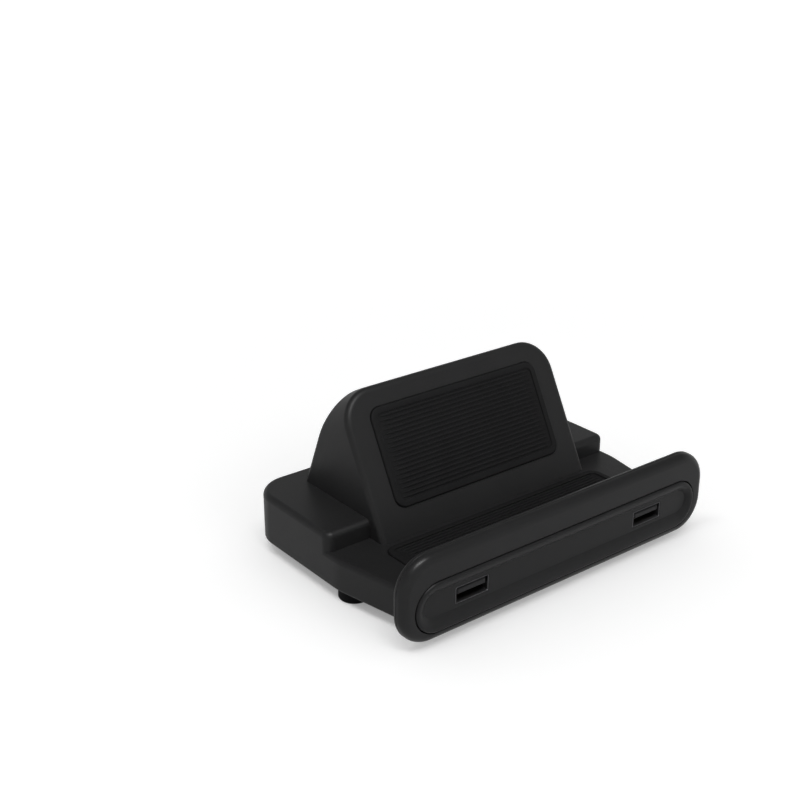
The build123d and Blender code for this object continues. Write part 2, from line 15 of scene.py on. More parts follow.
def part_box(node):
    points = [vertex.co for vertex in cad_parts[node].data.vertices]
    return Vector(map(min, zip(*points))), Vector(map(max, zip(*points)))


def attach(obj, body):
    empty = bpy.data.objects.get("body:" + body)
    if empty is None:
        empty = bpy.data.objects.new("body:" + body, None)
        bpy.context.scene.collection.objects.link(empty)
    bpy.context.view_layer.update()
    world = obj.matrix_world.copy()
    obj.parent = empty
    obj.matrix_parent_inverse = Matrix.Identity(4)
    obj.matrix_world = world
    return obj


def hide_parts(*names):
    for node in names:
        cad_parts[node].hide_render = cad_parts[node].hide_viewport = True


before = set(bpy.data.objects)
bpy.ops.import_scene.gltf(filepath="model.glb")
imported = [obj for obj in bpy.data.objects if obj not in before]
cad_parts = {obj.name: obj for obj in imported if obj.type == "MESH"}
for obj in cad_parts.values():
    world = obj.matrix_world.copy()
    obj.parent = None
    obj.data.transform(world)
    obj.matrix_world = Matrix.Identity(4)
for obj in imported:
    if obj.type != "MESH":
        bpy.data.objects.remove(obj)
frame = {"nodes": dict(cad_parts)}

LOG = logging.getLogger("dock")
MM = 0.001
MICROMETRE = MM * MM
BODY = "root"
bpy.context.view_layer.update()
CORNERS = ((1, 1), (1, -1), (-1, -1), (-1, 1))
SOCKET_FACETS = {"arc": 6, "run": 6, "side": 3}

Triple = tuple[float, float, float]
Ring = list[Vector]
Section = list[tuple[float, float]]
Links = dict[str | int, Any]


class Side(Enum):
    """Left and right of the dock, as seen from the front."""

    LEFT = -1
    RIGHT = 1

    @property
    def word(self) -> str:
        """The side's word in a node's name."""
        return self.name.lower()


class Grain(Enum):
    """Mould textures, as grain size in millimetres and bump depth in micrometres."""

    SATIN = (0.32, 14.0)
    SMOOTH = (0.26, 8.0)
    COARSE = (0.42, 20.0)
    RUBBER = (0.55, 30.0)


class TreeKit:
    """Adds nodes to one tree, of a shader or of geometry."""

    def __init__(self, tree: NodeTree) -> None:
        """Takes the tree."""
        self.tree = tree

    def feed(self, socket: NodeSocket, value: Any) -> None:
        """Links a source to an input, or sets the input's own value.

        Args:
            socket: The input.
            value: A source socket, a colour or another plain value.
        """
        if isinstance(value, NodeSocket):
            self.tree.links.new(value, socket)
        elif socket.type == "RGBA":
            socket.default_value = (*value, 1.0)
        else:
            socket.default_value = value

    def add(self, kind: str, links: Links | None = None, **settings: Any) -> Node:
        """Adds a node.

        Args:
            kind: Blender's type of the node.
            links: Source sockets or plain values, by input name or number.
            **settings: Attributes of the node.

        Returns:
            The node.
        """
        node = self.tree.nodes.new(kind)
        for label, value in settings.items():
            setattr(node, label, value)
        for place, value in (links or {}).items():
            self.feed(node.inputs[place], value)
        return node

    def calc(self, operation: str, *values: NodeSocket | float) -> NodeSocket:
        """Adds a math node.

        Args:
            operation: Blender's name of the operation.
            *values: Sockets or numbers, in the order of the node's inputs.

        Returns:
            The result's socket.
        """
        links: Links = dict(enumerate(values))
        return self.add("ShaderNodeMath", links, operation=operation).outputs[0]

    def ramp(self, source: NodeSocket, low: float, high: float,
             start: float = 0.0, end: float = 1.0) -> NodeSocket:
        """Adds a smooth step.

        Args:
            source: The value's socket.
            low: Value at which the result leaves its start.
            high: Value at which it reaches its end.
            start: The result below the step.
            end: The result above the step.

        Returns:
            The result's socket.
        """
        links: Links = {"Value": source, "From Min": low, "From Max": high,
                        "To Min": start, "To Max": end}
        node = self.add("ShaderNodeMapRange", links, interpolation_type="SMOOTHSTEP")
        return node.outputs["Result"]

    def noise(self, vector: NodeSocket, scale: NodeSocket | float, detail: float,
              distortion: float = 0.0) -> NodeSocket:
        """Adds a noise texture.

        Args:
            vector: The coordinates' socket.
            scale: A socket or a number.
            detail: Octaves.
            distortion: Warp of the coordinates.

        Returns:
            The noise value's socket.
        """
        links: Links = {"Vector": vector, "Scale": scale, "Detail": detail,
                        "Distortion": distortion}
        return self.add("ShaderNodeTexNoise", links).outputs[0]


class Effect(TreeKit):
    """A shader node group that more than one finish places."""

    def __init__(self, name: str, inputs: dict[str, str], outputs: Sequence[str]) -> None:
        """Makes an empty group.

        Args:
            name: The group's name.
            inputs: Socket types by input name, after the coordinates.
            outputs: Names of the float outputs.
        """
        super().__init__(bpy.data.node_groups.new(name, "ShaderNodeTree"))
        sockets = self.tree.interface
        for label, kind in {"Vector": "NodeSocketVector", **inputs}.items():
            sockets.new_socket(label, in_out="INPUT", socket_type=kind)
        for label in outputs:
            sockets.new_socket(label, in_out="OUTPUT", socket_type="NodeSocketFloat")
        self.get = self.add("NodeGroupInput").outputs
        self.put = self.add("NodeGroupOutput").inputs


class MouldGrain(Effect):
    """Spark-eroded mould texture: rounded pits over fine noise."""

    PIT_SCALE = 0.6
    PIT_SHARE = 0.5
    FINE_SHARE = 0.6
    BROAD_SCALE = 60.0

    def __init__(self) -> None:
        """Builds the group."""
        super().__init__("mould_grain", {"Scale": "NodeSocketFloat"}, ("Height", "Tone"))
        vector, scale = self.get["Vector"], self.get["Scale"]
        fine = self.noise(vector, scale, detail=3.0)
        wide = self.calc("MULTIPLY", scale, self.PIT_SCALE)
        pits = self.add("ShaderNodeTexVoronoi", {"Vector": vector, "Scale": wide},
                        feature="SMOOTH_F1").outputs["Distance"]
        relief = self.calc("MULTIPLY", fine, self.FINE_SHARE)
        height = self.calc("MULTIPLY_ADD", pits, self.PIT_SHARE, relief)
        self.feed(self.put["Height"], height)
        broad = self.noise(vector, self.BROAD_SCALE, detail=2.0)
        tone = self.calc("MULTIPLY", self.ramp(broad, 0.3, 0.7), self.ramp(fine, 0.2, 0.8))
        self.feed(self.put["Tone"], tone)


class HandlingMarks(Effect):
    """Faint handling marks: broad soft patches broken by fine streaks."""

    STREAK_SCALE = 9.0

    def __init__(self) -> None:
        """Builds the group."""
        super().__init__("handling_marks", {"Scale": "NodeSocketFloat"}, ("Mask",))
        vector, scale = self.get["Vector"], self.get["Scale"]
        patch = self.noise(vector, scale, detail=4.0, distortion=0.8)
        finer = self.calc("MULTIPLY", scale, self.STREAK_SCALE)
        streak = self.noise(vector, finer, detail=2.0, distortion=2.5)
        mask = self.calc("MULTIPLY", self.ramp(patch, 0.46, 0.7), self.ramp(streak, 0.25, 0.75))
        self.feed(self.put["Mask"], mask)


class SettledDust(Effect):
    """Fine dust that settles on faces that look up."""

    SPECK_SCALE = 2400.0
    DRIFT_SCALE = 45.0

    def __init__(self) -> None:
        """Builds the group."""
        super().__init__("settled_dust", {"Up": "NodeSocketFloat"}, ("Mask",))
        vector = self.get["Vector"]
        level = self.ramp(self.get["Up"], 0.75, 1.0)
        specks = self.ramp(self.noise(vector, self.SPECK_SCALE, detail=2.0), 0.56, 0.74)
        drift = self.ramp(self.noise(vector, self.DRIFT_SCALE, detail=3.0), 0.3, 0.75)
        settled = self.calc("MULTIPLY", specks, drift)
        self.feed(self.put["Mask"], self.calc("MULTIPLY", settled, level))


class DrawnLines(Effect):
    """Fine drawn lines on plated sheet and turned metal."""

    def __init__(self) -> None:
        """Builds the group."""
        kinds = {"Stretch": "NodeSocketVector", "Scale": "NodeSocketFloat"}
        super().__init__("drawn_lines", kinds, ("Height", "Tone"))
        both: Links = {0: self.get["Vector"], 1: self.get["Stretch"]}
        drawn = self.add("ShaderNodeVectorMath", both, operation="MULTIPLY").outputs[0]
        lines = self.noise(drawn, self.get["Scale"], detail=3.0)
        self.feed(self.put["Height"], lines)
        self.feed(self.put["Tone"], self.ramp(lines, 0.25, 0.75))


class Effects:
    """The shared effects, each built once."""

    def __init__(self) -> None:
        """Builds the groups."""
        self.grain = MouldGrain()
        self.marks = HandlingMarks()
        self.dust = SettledDust()
        self.lines = DrawnLines()


class Coat(TreeKit):
    """A material in the making: a Principled shader on object coordinates."""

    BUMP_STRENGTH = 0.6
    MIX_FIRST = 6
    MIX_SECOND = 7
    MIX_RESULT = 2

    def __init__(self, name: str, specular: float) -> None:
        """Makes a plain material.

        Args:
            name: The material's name.
            specular: The shader's specular level.
        """
        self.material = bpy.data.materials.new(name)
        self.material.use_nodes = True
        super().__init__(self.material.node_tree)
        self.shader = self.tree.nodes["Principled BSDF"].inputs
        self.coords = self.add("ShaderNodeTexCoord").outputs["Object"]
        self.paint("Specular IOR Level", specular)

    def paint(self, label: str, value: Any) -> None:
        """Feeds the shader's input of that name."""
        self.feed(self.shader[label], value)

    def effect(self, effect: Effect, **values: Any) -> Any:
        """Places a shared effect.

        Args:
            effect: The effect.
            **values: Sockets or values of its inputs, by name.

        Returns:
            The effect's outputs, by name.
        """
        links: Links = {"Vector": self.coords, **values}
        return self.add("ShaderNodeGroup", links, node_tree=effect.tree).outputs

    def mix(self, factor: NodeSocket, first: Any, second: Any) -> NodeSocket:
        """Mixes two colours.

        Args:
            factor: Socket of the mask.
            first: Colour or socket at zero.
            second: Colour or socket at one.

        Returns:
            The mixed colour's socket.
        """
        links: Links = {0: factor, self.MIX_FIRST: first, self.MIX_SECOND: second}
        return self.add("ShaderNodeMix", links, data_type="RGBA").outputs[self.MIX_RESULT]

    def bump(self, height: NodeSocket, micrometres: float) -> None:
        """Links a height to the shader's normal.

        Args:
            height: Socket of the height.
            micrometres: Depth of the relief.
        """
        links: Links = {"Strength": self.BUMP_STRENGTH, "Distance": micrometres * MICROMETRE,
                        "Height": height}
        self.paint("Normal", self.add("ShaderNodeBump", links).outputs["Normal"])


@dataclass(frozen=True)
class Finish:
    """A procedural finish; the kinds below add their own nodes.

    Attributes:
        slot: The record's material slot.
        colour: Linear base colour.
        shade: Share of the colour's brightness that its mottling takes away.
        roughness: Middle roughness.
        specular: Specular level of the shader.
    """

    slot: str
    colour: Triple
    shade: float = 0.2
    roughness: float = 0.5
    specular: float = 0.5

    def build(self, effects: Effects) -> Material:
        """Makes the material.

        Args:
            effects: The shared effects.

        Returns:
            The material, named after its slot.
        """
        coat = Coat(self.slot, self.specular)
        self.dress(coat, effects)
        return coat.material

    def dress(self, coat: Coat, effects: Effects) -> None:
        """Adds the finish's own nodes."""
        raise NotImplementedError

    def mottled(self, coat: Coat, mask: NodeSocket) -> NodeSocket:
        """The base colour's socket, darker where the mask is one."""
        darker = tuple(part * (1.0 - self.shade) for part in self.colour)
        return coat.mix(mask, self.colour, darker)


@dataclass(frozen=True)
class MouldedFinish(Finish):
    """Moulded plastic or rubber: mould grain, handling marks and a little dust.

    Attributes:
        grain: The mould's texture.
        marks: Roughness that handling takes away.
        dust: Colour of the settled dust.
        marks_scale: Patches of handling marks in a metre.
    """

    grain: Grain = Grain.SATIN
    marks: float = 0.1
    dust: Triple = (0.036, 0.035, 0.034)
    marks_scale: float = 38.0

    def dress(self, coat: Coat, effects: Effects) -> None:
        """Adds grain, marks and dust.

        Args:
            coat: The material in the making.
            effects: The shared effects.
        """
        size, depth = self.grain.value
        grain = coat.effect(effects.grain, Scale=1.0 / (size * MM))
        marks = coat.effect(effects.marks, Scale=self.marks_scale)
        normal = coat.add("ShaderNodeNewGeometry").outputs["Normal"]
        up = coat.add("ShaderNodeSeparateXYZ", {0: normal}).outputs["Z"]
        dust = coat.effect(effects.dust, Up=up)
        clean = self.mottled(coat, grain["Tone"])
        coat.paint("Base Color", coat.mix(dust["Mask"], clean, self.dust))
        polish = coat.calc("MULTIPLY", marks["Mask"], self.marks)
        coat.paint("Roughness", coat.calc("SUBTRACT", self.roughness, polish))
        coat.bump(grain["Height"], depth)


@dataclass(frozen=True)
class MetalFinish(Finish):
    """Plated or turned metal with fine drawn lines.

    Attributes:
        stretch: How the lines' coordinates are stretched along each axis.
        scale: Lines in a metre.
        depth: Depth of the lines in micrometres.
        spread: Change of roughness across the lines.
        marks_scale: Patches of handling marks in a metre.
    """

    stretch: Triple = (1.0, 0.06, 1.0)
    scale: float = 6000.0
    depth: float = 4.0
    spread: float = 0.12
    marks_scale: float = 160.0

    def dress(self, coat: Coat, effects: Effects) -> None:
        """Adds the drawn lines and the marks.

        Args:
            coat: The material in the making.
            effects: The shared effects.
        """
        coat.paint("Metallic", 1.0)
        lines = coat.effect(effects.lines, Scale=self.scale, Stretch=self.stretch)
        marks = coat.effect(effects.marks, Scale=self.marks_scale)
        coat.paint("Base Color", self.mottled(coat, lines["Tone"]))
        worn = coat.calc("ADD", lines["Tone"], marks["Mask"])
        coat.paint("Roughness", coat.calc("MULTIPLY_ADD", worn, self.spread, self.roughness))
        coat.bump(lines["Height"], self.depth)


@dataclass(frozen=True)
class StripedFinish(Finish):
    """Film or laminate with parallel conductors under its skin.

    Attributes:
        stripe: Colour over the conductors.
        pitch: Distance between conductors in millimetres.
        grain_size: Size of the skin's grain in millimetres.
        depth: Depth of the conductors' relief in micrometres.
        spread: Change of roughness with the grain.
        turn: Scale at which Blender's waves lie one unit apart.
    """

    stripe: Triple = (0.4, 0.42, 0.5)
    pitch: float = 1.0
    grain_size: float = 0.3
    depth: float = 15.0
    spread: float = 0.1
    turn: float = 0.314

    def dress(self, coat: Coat, effects: Effects) -> None:
        """Adds the conductors and the skin's grain.

        Args:
            coat: The material in the making.
            effects: The shared effects.
        """
        links: Links = {"Vector": coat.coords, "Scale": self.turn / (self.pitch * MM),
                        "Distortion": 0.0}
        stripes = coat.add("ShaderNodeTexWave", links).outputs["Fac"]
        grain = coat.effect(effects.grain, Scale=1.0 / (self.grain_size * MM))
        bare = self.mottled(coat, grain["Tone"])
        coat.paint("Base Color", coat.mix(stripes, bare, self.stripe))
        rough = coat.calc("MULTIPLY_ADD", grain["Tone"], self.spread, self.roughness)
        coat.paint("Roughness", rough)
        coat.bump(stripes, self.depth)


FINISHES: tuple[Finish, ...] = (
    MouldedFinish("bar_plastic", (0.0225, 0.0225, 0.023), shade=0.12, roughness=0.36,
                  specular=0.1, grain=Grain.SATIN, marks=0.06),
    MouldedFinish("panel_plastic", (0.019, 0.019, 0.0195), shade=0.1, roughness=0.4,
                  specular=0.1, grain=Grain.SMOOTH, marks=0.05),
    MouldedFinish("body_plastic", (0.021, 0.021, 0.0215), shade=0.16, roughness=0.48,
                  specular=0.12, grain=Grain.COARSE, marks=0.08),
    MouldedFinish("soft_rubber", (0.013, 0.013, 0.0135), shade=0.2, roughness=0.7,
                  specular=0.07, grain=Grain.RUBBER, dust=(0.022, 0.022, 0.022)),
    MouldedFinish("foot_rubber", (0.008, 0.008, 0.0085), shade=0.2, roughness=0.8,
                  specular=0.06, grain=Grain.RUBBER, dust=(0.022, 0.022, 0.022)),
    MetalFinish("socket_metal", (0.1, 0.1, 0.104), shade=0.15, roughness=0.3),
    MouldedFinish("socket_plastic", (0.02, 0.02, 0.021), shade=0.15, roughness=0.45,
                  specular=0.12, grain=Grain.SMOOTH, marks=0.05),
    MetalFinish("contact_gold", (0.82, 0.61, 0.26), shade=0.12, roughness=0.22),
    MetalFinish("screw_steel", (0.09, 0.09, 0.095), shade=0.25, roughness=0.38,
                stretch=(1.0, 1.0, 0.1)),
    StripedFinish("board_laminate", (0.012, 0.075, 0.035), shade=0.25, roughness=0.34,
                  stripe=(0.02, 0.11, 0.05), pitch=1.3),
    StripedFinish("ribbon_film", (0.72, 0.72, 0.68), shade=0.08, roughness=0.4,
                  specular=0.4, stripe=(0.42, 0.45, 0.52), pitch=0.5),
    MouldedFinish("plug_plastic", (0.74, 0.7, 0.6), shade=0.1, roughness=0.5,
                  specular=0.4, grain=Grain.SMOOTH, marks=0.05, dust=(0.6, 0.58, 0.55)),
    MouldedFinish("chip_resin", (0.016, 0.016, 0.017), shade=0.3, roughness=0.6,
                  specular=0.35, grain=Grain.SATIN, marks=0.05),
    MouldedFinish("inductor_ferrite", (0.1, 0.1, 0.102), shade=0.3, roughness=0.65,
                  specular=0.4, grain=Grain.COARSE, marks=0.05),
    MetalFinish("can_aluminium", (0.72, 0.72, 0.74), shade=0.12, roughness=0.3,
                stretch=(1.0, 1.0, 0.08)),
    MetalFinish("crystal_metal", (0.66, 0.65, 0.63), shade=0.12, roughness=0.2,
                stretch=(0.08, 1.0, 1.0)),
)


class Palette:
    """The built materials by slot."""

    def __init__(self, finishes: Iterable[Finish]) -> None:
        """Builds each finish once.

        Args:
            finishes: The finishes to build.
        """
        effects = Effects()
        self._made = {finish.slot: finish.build(effects) for finish in finishes}

    def __getitem__(self, slot: str) -> Material:
        """The material of a slot."""
        return self._made[slot]


@dataclass(frozen=True)
class Outline:
    """A rounded rectangle that stands in a plane of constant depth.

    Attributes:
        half_x: Half its width.
        half_z: Half its height.
        corner: Radius of its corners.
        x: Its middle along X.
        z: Its middle's height.
        arc: Facets in a corner.
        run: Facets along the upper and lower runs.
        side: Facets along the ends.
    """

    half_x: float
    half_z: float
    corner: float
    x: float = 0.0
    z: float = 0.0
    arc: int = 18
    run: int = 26
    side: int = 4

    LEAST_CORNER = 0.02 * MM

    def grown(self, amount: float) -> "Outline":
        """The outline moved outward by an amount."""
        corner = max(self.corner + amount, self.LEAST_CORNER)
        return replace(self, half_x=self.half_x + amount, half_z=self.half_z + amount,
                       corner=corner)

    def ring(self, depth: float) -> Ring:
        """Points around the outline.

        Args:
            depth: Where the ring lies along Y.

        Returns:
            The ring, from the right end of the upper run, clockwise seen from the front.
        """
        points: Ring = []
        for number, way in enumerate(CORNERS):
            start = pi / 2 * (1 - number)
            for step in range(self.arc + 1):
                points.append(self._point(way, start - pi / 2 * step / self.arc, depth))
            goal = self._point(CORNERS[(number + 1) % 4], start - pi / 2, depth)
            steps = self.side if number % 2 == 0 else self.run
            last = points[-1]
            points.extend(last.lerp(goal, step / steps) for step in range(1, steps))
        return points

    def _point(self, way: tuple[int, int], angle: float, depth: float) -> Vector:
        """A point on a corner's round.

        Args:
            way: Which corner, as signs along X and Z.
            angle: Its angle about the corner's middle, from X towards Z.
            depth: Where it lies along Y.

        Returns:
            The point.
        """
        x = way[0] * (self.half_x - self.corner) + self.corner * cos(angle)
        z = way[1] * (self.half_z - self.corner) + self.corner * sin(angle)
        return Vector((self.x + x, depth, self.z + z))


def quarter(radius: float, steps: int) -> Section:
    """A quarter round from its side to its front.

    Args:
        radius: The round's radius.
        steps: Number of facets.

    Returns:
        Pairs of inset from the side and depth behind the front.
    """
    turns = [pi / 2 * step / steps for step in range(steps + 1)]
    return [(radius * (1 - cos(turn)), radius * (1 - sin(turn))) for turn in turns]


def circle(radius: float, height: float, steps: int) -> Ring:
    """Points around a level circle about Z.

    Args:
        radius: The circle's radius.
        height: Where it lies along Z.
        steps: Number of points.

    Returns:
        The ring.
    """
    turns = [2 * pi * step / steps for step in range(steps)]
    return [Vector((radius * cos(turn), radius * sin(turn), height)) for turn in turns]


class MeshKit:
    """Makes, smooths and places meshes."""

    SHARP = radians(28.0)
    MERGE = 0.0005 * MM
    NORMAL_WEIGHT = 80

    @staticmethod
    def skin(mesh: BMesh, rings: Sequence[Ring], closed: bool) -> list[list[BMVert]]:
        """Bridges rings of equal length with quads.

        Args:
            mesh: The mesh that gets the faces.
            rings: The rings in order.
            closed: Whether the last ring joins the first.

        Returns:
            The vertices of each ring.
        """
        loops = [[mesh.verts.new(point) for point in ring] for ring in rings]
        count = len(loops[0])
        pairs = list(zip(loops, loops[1:]))
        if closed:
            pairs.append((loops[-1], loops[0]))
        for first, second in pairs:
            for place in range(count):
                after = (place + 1) % count
                mesh.faces.new((first[place], first[after], second[after], second[place]))
        return loops

    @classmethod
    def plug(cls, mesh: BMesh, rings: Sequence[Ring]) -> None:
        """Bridges rings with quads and closes both ends.

        Args:
            mesh: The mesh that gets the faces.
            rings: The rings in order.
        """
        loops = cls.skin(mesh, rings, closed=False)
        mesh.faces.new(loops[0])
        mesh.faces.new(loops[-1])

    @staticmethod
    def loop_edges(mesh: BMesh, loop: Sequence[BMVert]) -> list[BMEdge]:
        """Finds the edges around a loop, and makes those that are missing.

        Args:
            mesh: The loop's mesh.
            loop: The vertices in order.

        Returns:
            The edges.
        """
        pairs = zip(loop, [*loop[1:], loop[0]])
        return [mesh.edges.get(pair) or mesh.edges.new(pair) for pair in pairs]

    @staticmethod
    def fill(mesh: BMesh, edges: Sequence[BMEdge]) -> None:
        """Fills the space between loops of edges with triangles."""
        bmesh.ops.triangle_fill(mesh, use_beauty=True, use_dissolve=False, edges=edges)

    @classmethod
    def clean(cls, mesh: BMesh) -> None:
        """Merges doubles, drops faces without area and points every face outward.

        Args:
            mesh: The mesh to clean.
        """
        bmesh.ops.remove_doubles(mesh, verts=mesh.verts, dist=cls.MERGE)
        bmesh.ops.dissolve_degenerate(mesh, edges=mesh.edges, dist=cls.MERGE)
        bmesh.ops.recalc_face_normals(mesh, faces=mesh.faces)

    @classmethod
    def piece(cls, name: str, mesh: BMesh, place: Matrix | None = None) -> Object:
        """Turns a mesh into an object at the origin.

        Args:
            name: The piece's name.
            mesh: The finished mesh, which is freed.
            place: Where the mesh goes, if not where it is.

        Returns:
            The linked object.
        """
        cls.clean(mesh)
        if place is not None:
            mesh.transform(place)
        data = bpy.data.meshes.new(name)
        mesh.to_mesh(data)
        mesh.free()
        data.shade_smooth()
        data.set_sharp_from_angle(angle=cls.SHARP)
        return link(name, data)

    @classmethod
    def lathe(cls, mesh: BMesh, profile: Section, steps: int = 48) -> None:
        """Turns a profile about Z into a closed form.

        Args:
            mesh: The mesh that gets the faces.
            profile: Pairs of radius and height, from one pole to the other.
            steps: Facets around.
        """
        rows = [circle(radius, height, steps) for radius, height in profile]
        cls.skin(mesh, rows, closed=False)

    @classmethod
    def settle(cls, thing: Object) -> Object:
        """Gives flat faces true normals beside rounded ones.

        Args:
            thing: The object, which gets a modifier.

        Returns:
            The same object.
        """
        modifier = thing.modifiers.new("weighted_normals", "WEIGHTED_NORMAL")
        modifier.keep_sharp = True
        modifier.weight = cls.NORMAL_WEIGHT
        return thing


def link(name: str, data: Any) -> Object:
    """Puts data into the scene as an object.

    Args:
        name: The object's name.
        data: A mesh, a lamp or a camera.

    Returns:
        The object.
    """
    thing = bpy.data.objects.new(name, data)
    bpy.context.scene.collection.objects.link(thing)
    return thing


class GeometryTree(TreeKit):
    """A Geometry Nodes tree with named inputs, whose result is kept as a plain mesh."""

    def __init__(self, name: str, inputs: dict[str, str]) -> None:
        """Makes an empty tree.

        Args:
            name: The tree's name.
            inputs: Socket types by input name, after the geometry.
        """
        super().__init__(bpy.data.node_groups.new(name, "GeometryNodeTree"))
        sockets = self.tree.interface
        sockets.new_socket("Geometry", in_out="INPUT", socket_type="NodeSocketGeometry")
        self.names: dict[str, str] = {}
        for label, kind in inputs.items():
            socket = sockets.new_socket(label, in_out="INPUT", socket_type=kind)
            self.names[label] = socket.identifier
        sockets.new_socket("Geometry", in_out="OUTPUT", socket_type="NodeSocketGeometry")
        self.get = self.add("NodeGroupInput").outputs
        self.put = self.add("NodeGroupOutput").inputs

    def end(self, geometry: NodeSocket) -> None:
        """Realizes the instances, sets the material and closes the tree.

        Args:
            geometry: Socket of the finished geometry.
        """
        real = self.add("GeometryNodeRealizeInstances", {0: geometry}).outputs[0]
        links: Links = {"Geometry": real, "Material": self.get["Material"]}
        self.feed(self.put[0], self.add("GeometryNodeSetMaterial", links).outputs[0])

    def hang(self, thing: Object, **values: Any) -> None:
        """Adds the tree to an object as a modifier.

        Args:
            thing: The object that carries the tree's geometry.
            **values: Input values by name.
        """
        modifier = thing.modifiers.new(self.tree.name, "NODES")
        modifier.node_group = self.tree
        for label, value in values.items():
            modifier[self.names[label]] = value

    def apply(self, thing: Object, **values: Any) -> None:
        """Runs the tree on an object and keeps its result as a plain mesh.

        Args:
            thing: The object that carries the tree's geometry.
            **values: Input values by name.
        """
        self.hang(thing, **values)
        graph = bpy.context.evaluated_depsgraph_get()
        data = bpy.data.meshes.new_from_object(thing.evaluated_get(graph), depsgraph=graph)
        thing.modifiers.clear()
        thing.data = data


class SmoothTree(GeometryTree):
    """Welds a solid's loose triangles and smooths its rounded faces."""

    WELD = 0.001 * MM

    def __init__(self) -> None:
        """Builds the tree."""
        super().__init__("weld_and_smooth", {"Angle": "NodeSocketFloat"})
        weld: Links = {"Geometry": self.get[0], "Distance": self.WELD}
        whole = self.add("GeometryNodeMergeByDistance", weld).outputs[0]
        smooth: Links = {"Geometry": whole, "Shade Smooth": True}
        soft = self.add("GeometryNodeSetShadeSmooth", smooth).outputs[0]
        bend = self.add("GeometryNodeInputMeshEdgeAngle").outputs[0]
        sharp = self.add("FunctionNodeCompare", {0: bend, 1: self.get["Angle"]},
                         operation="GREATER_THAN").outputs[0]
        crease: Links = {"Geometry": soft, "Selection": sharp, "Shade Smooth": False}
        crisp = self.add("GeometryNodeSetShadeSmooth", crease, domain="EDGE").outputs[0]
        self.feed(self.put[0], crisp)

    def live(self, thing: Object) -> None:
        """Leaves the tree on a solid as a modifier, so that the solid's own mesh stays."""
        self.hang(thing, Angle=MeshKit.SHARP)
        MeshKit.settle(thing)


class CopiesTree(GeometryTree):
    """Puts a copy of one form on each point of a mesh."""

    def __init__(self) -> None:
        """Builds the tree."""
        kinds = {"Form": "NodeSocketObject", "Material": "NodeSocketMaterial"}
        super().__init__("copies_on_points", kinds)
        form = self.add("GeometryNodeObjectInfo", {"Object": self.get["Form"]})
        points = self.add("GeometryNodeMeshToPoints", {"Mesh": self.get[0]})
        links: Links = {"Points": points.outputs[0], "Instance": form.outputs["Geometry"]}
        self.end(self.add("GeometryNodeInstanceOnPoints", links).outputs[0])

    def spread(self, name: str, form: Object, places: Iterable[Triple],
               material: Material) -> Object:
        """Copies a form to places and removes the form.

        Args:
            name: The copies' name.
            form: One finished copy at the origin.
            places: Where the copies go.
            material: The copies' material.

        Returns:
            All copies as one object.
        """
        points = bpy.data.meshes.new(name)
        points.from_pydata(list(places), [], [])
        thing = link(name, points)
        self.apply(thing, Form=form, Material=material)
        bpy.data.objects.remove(form)
        return thing


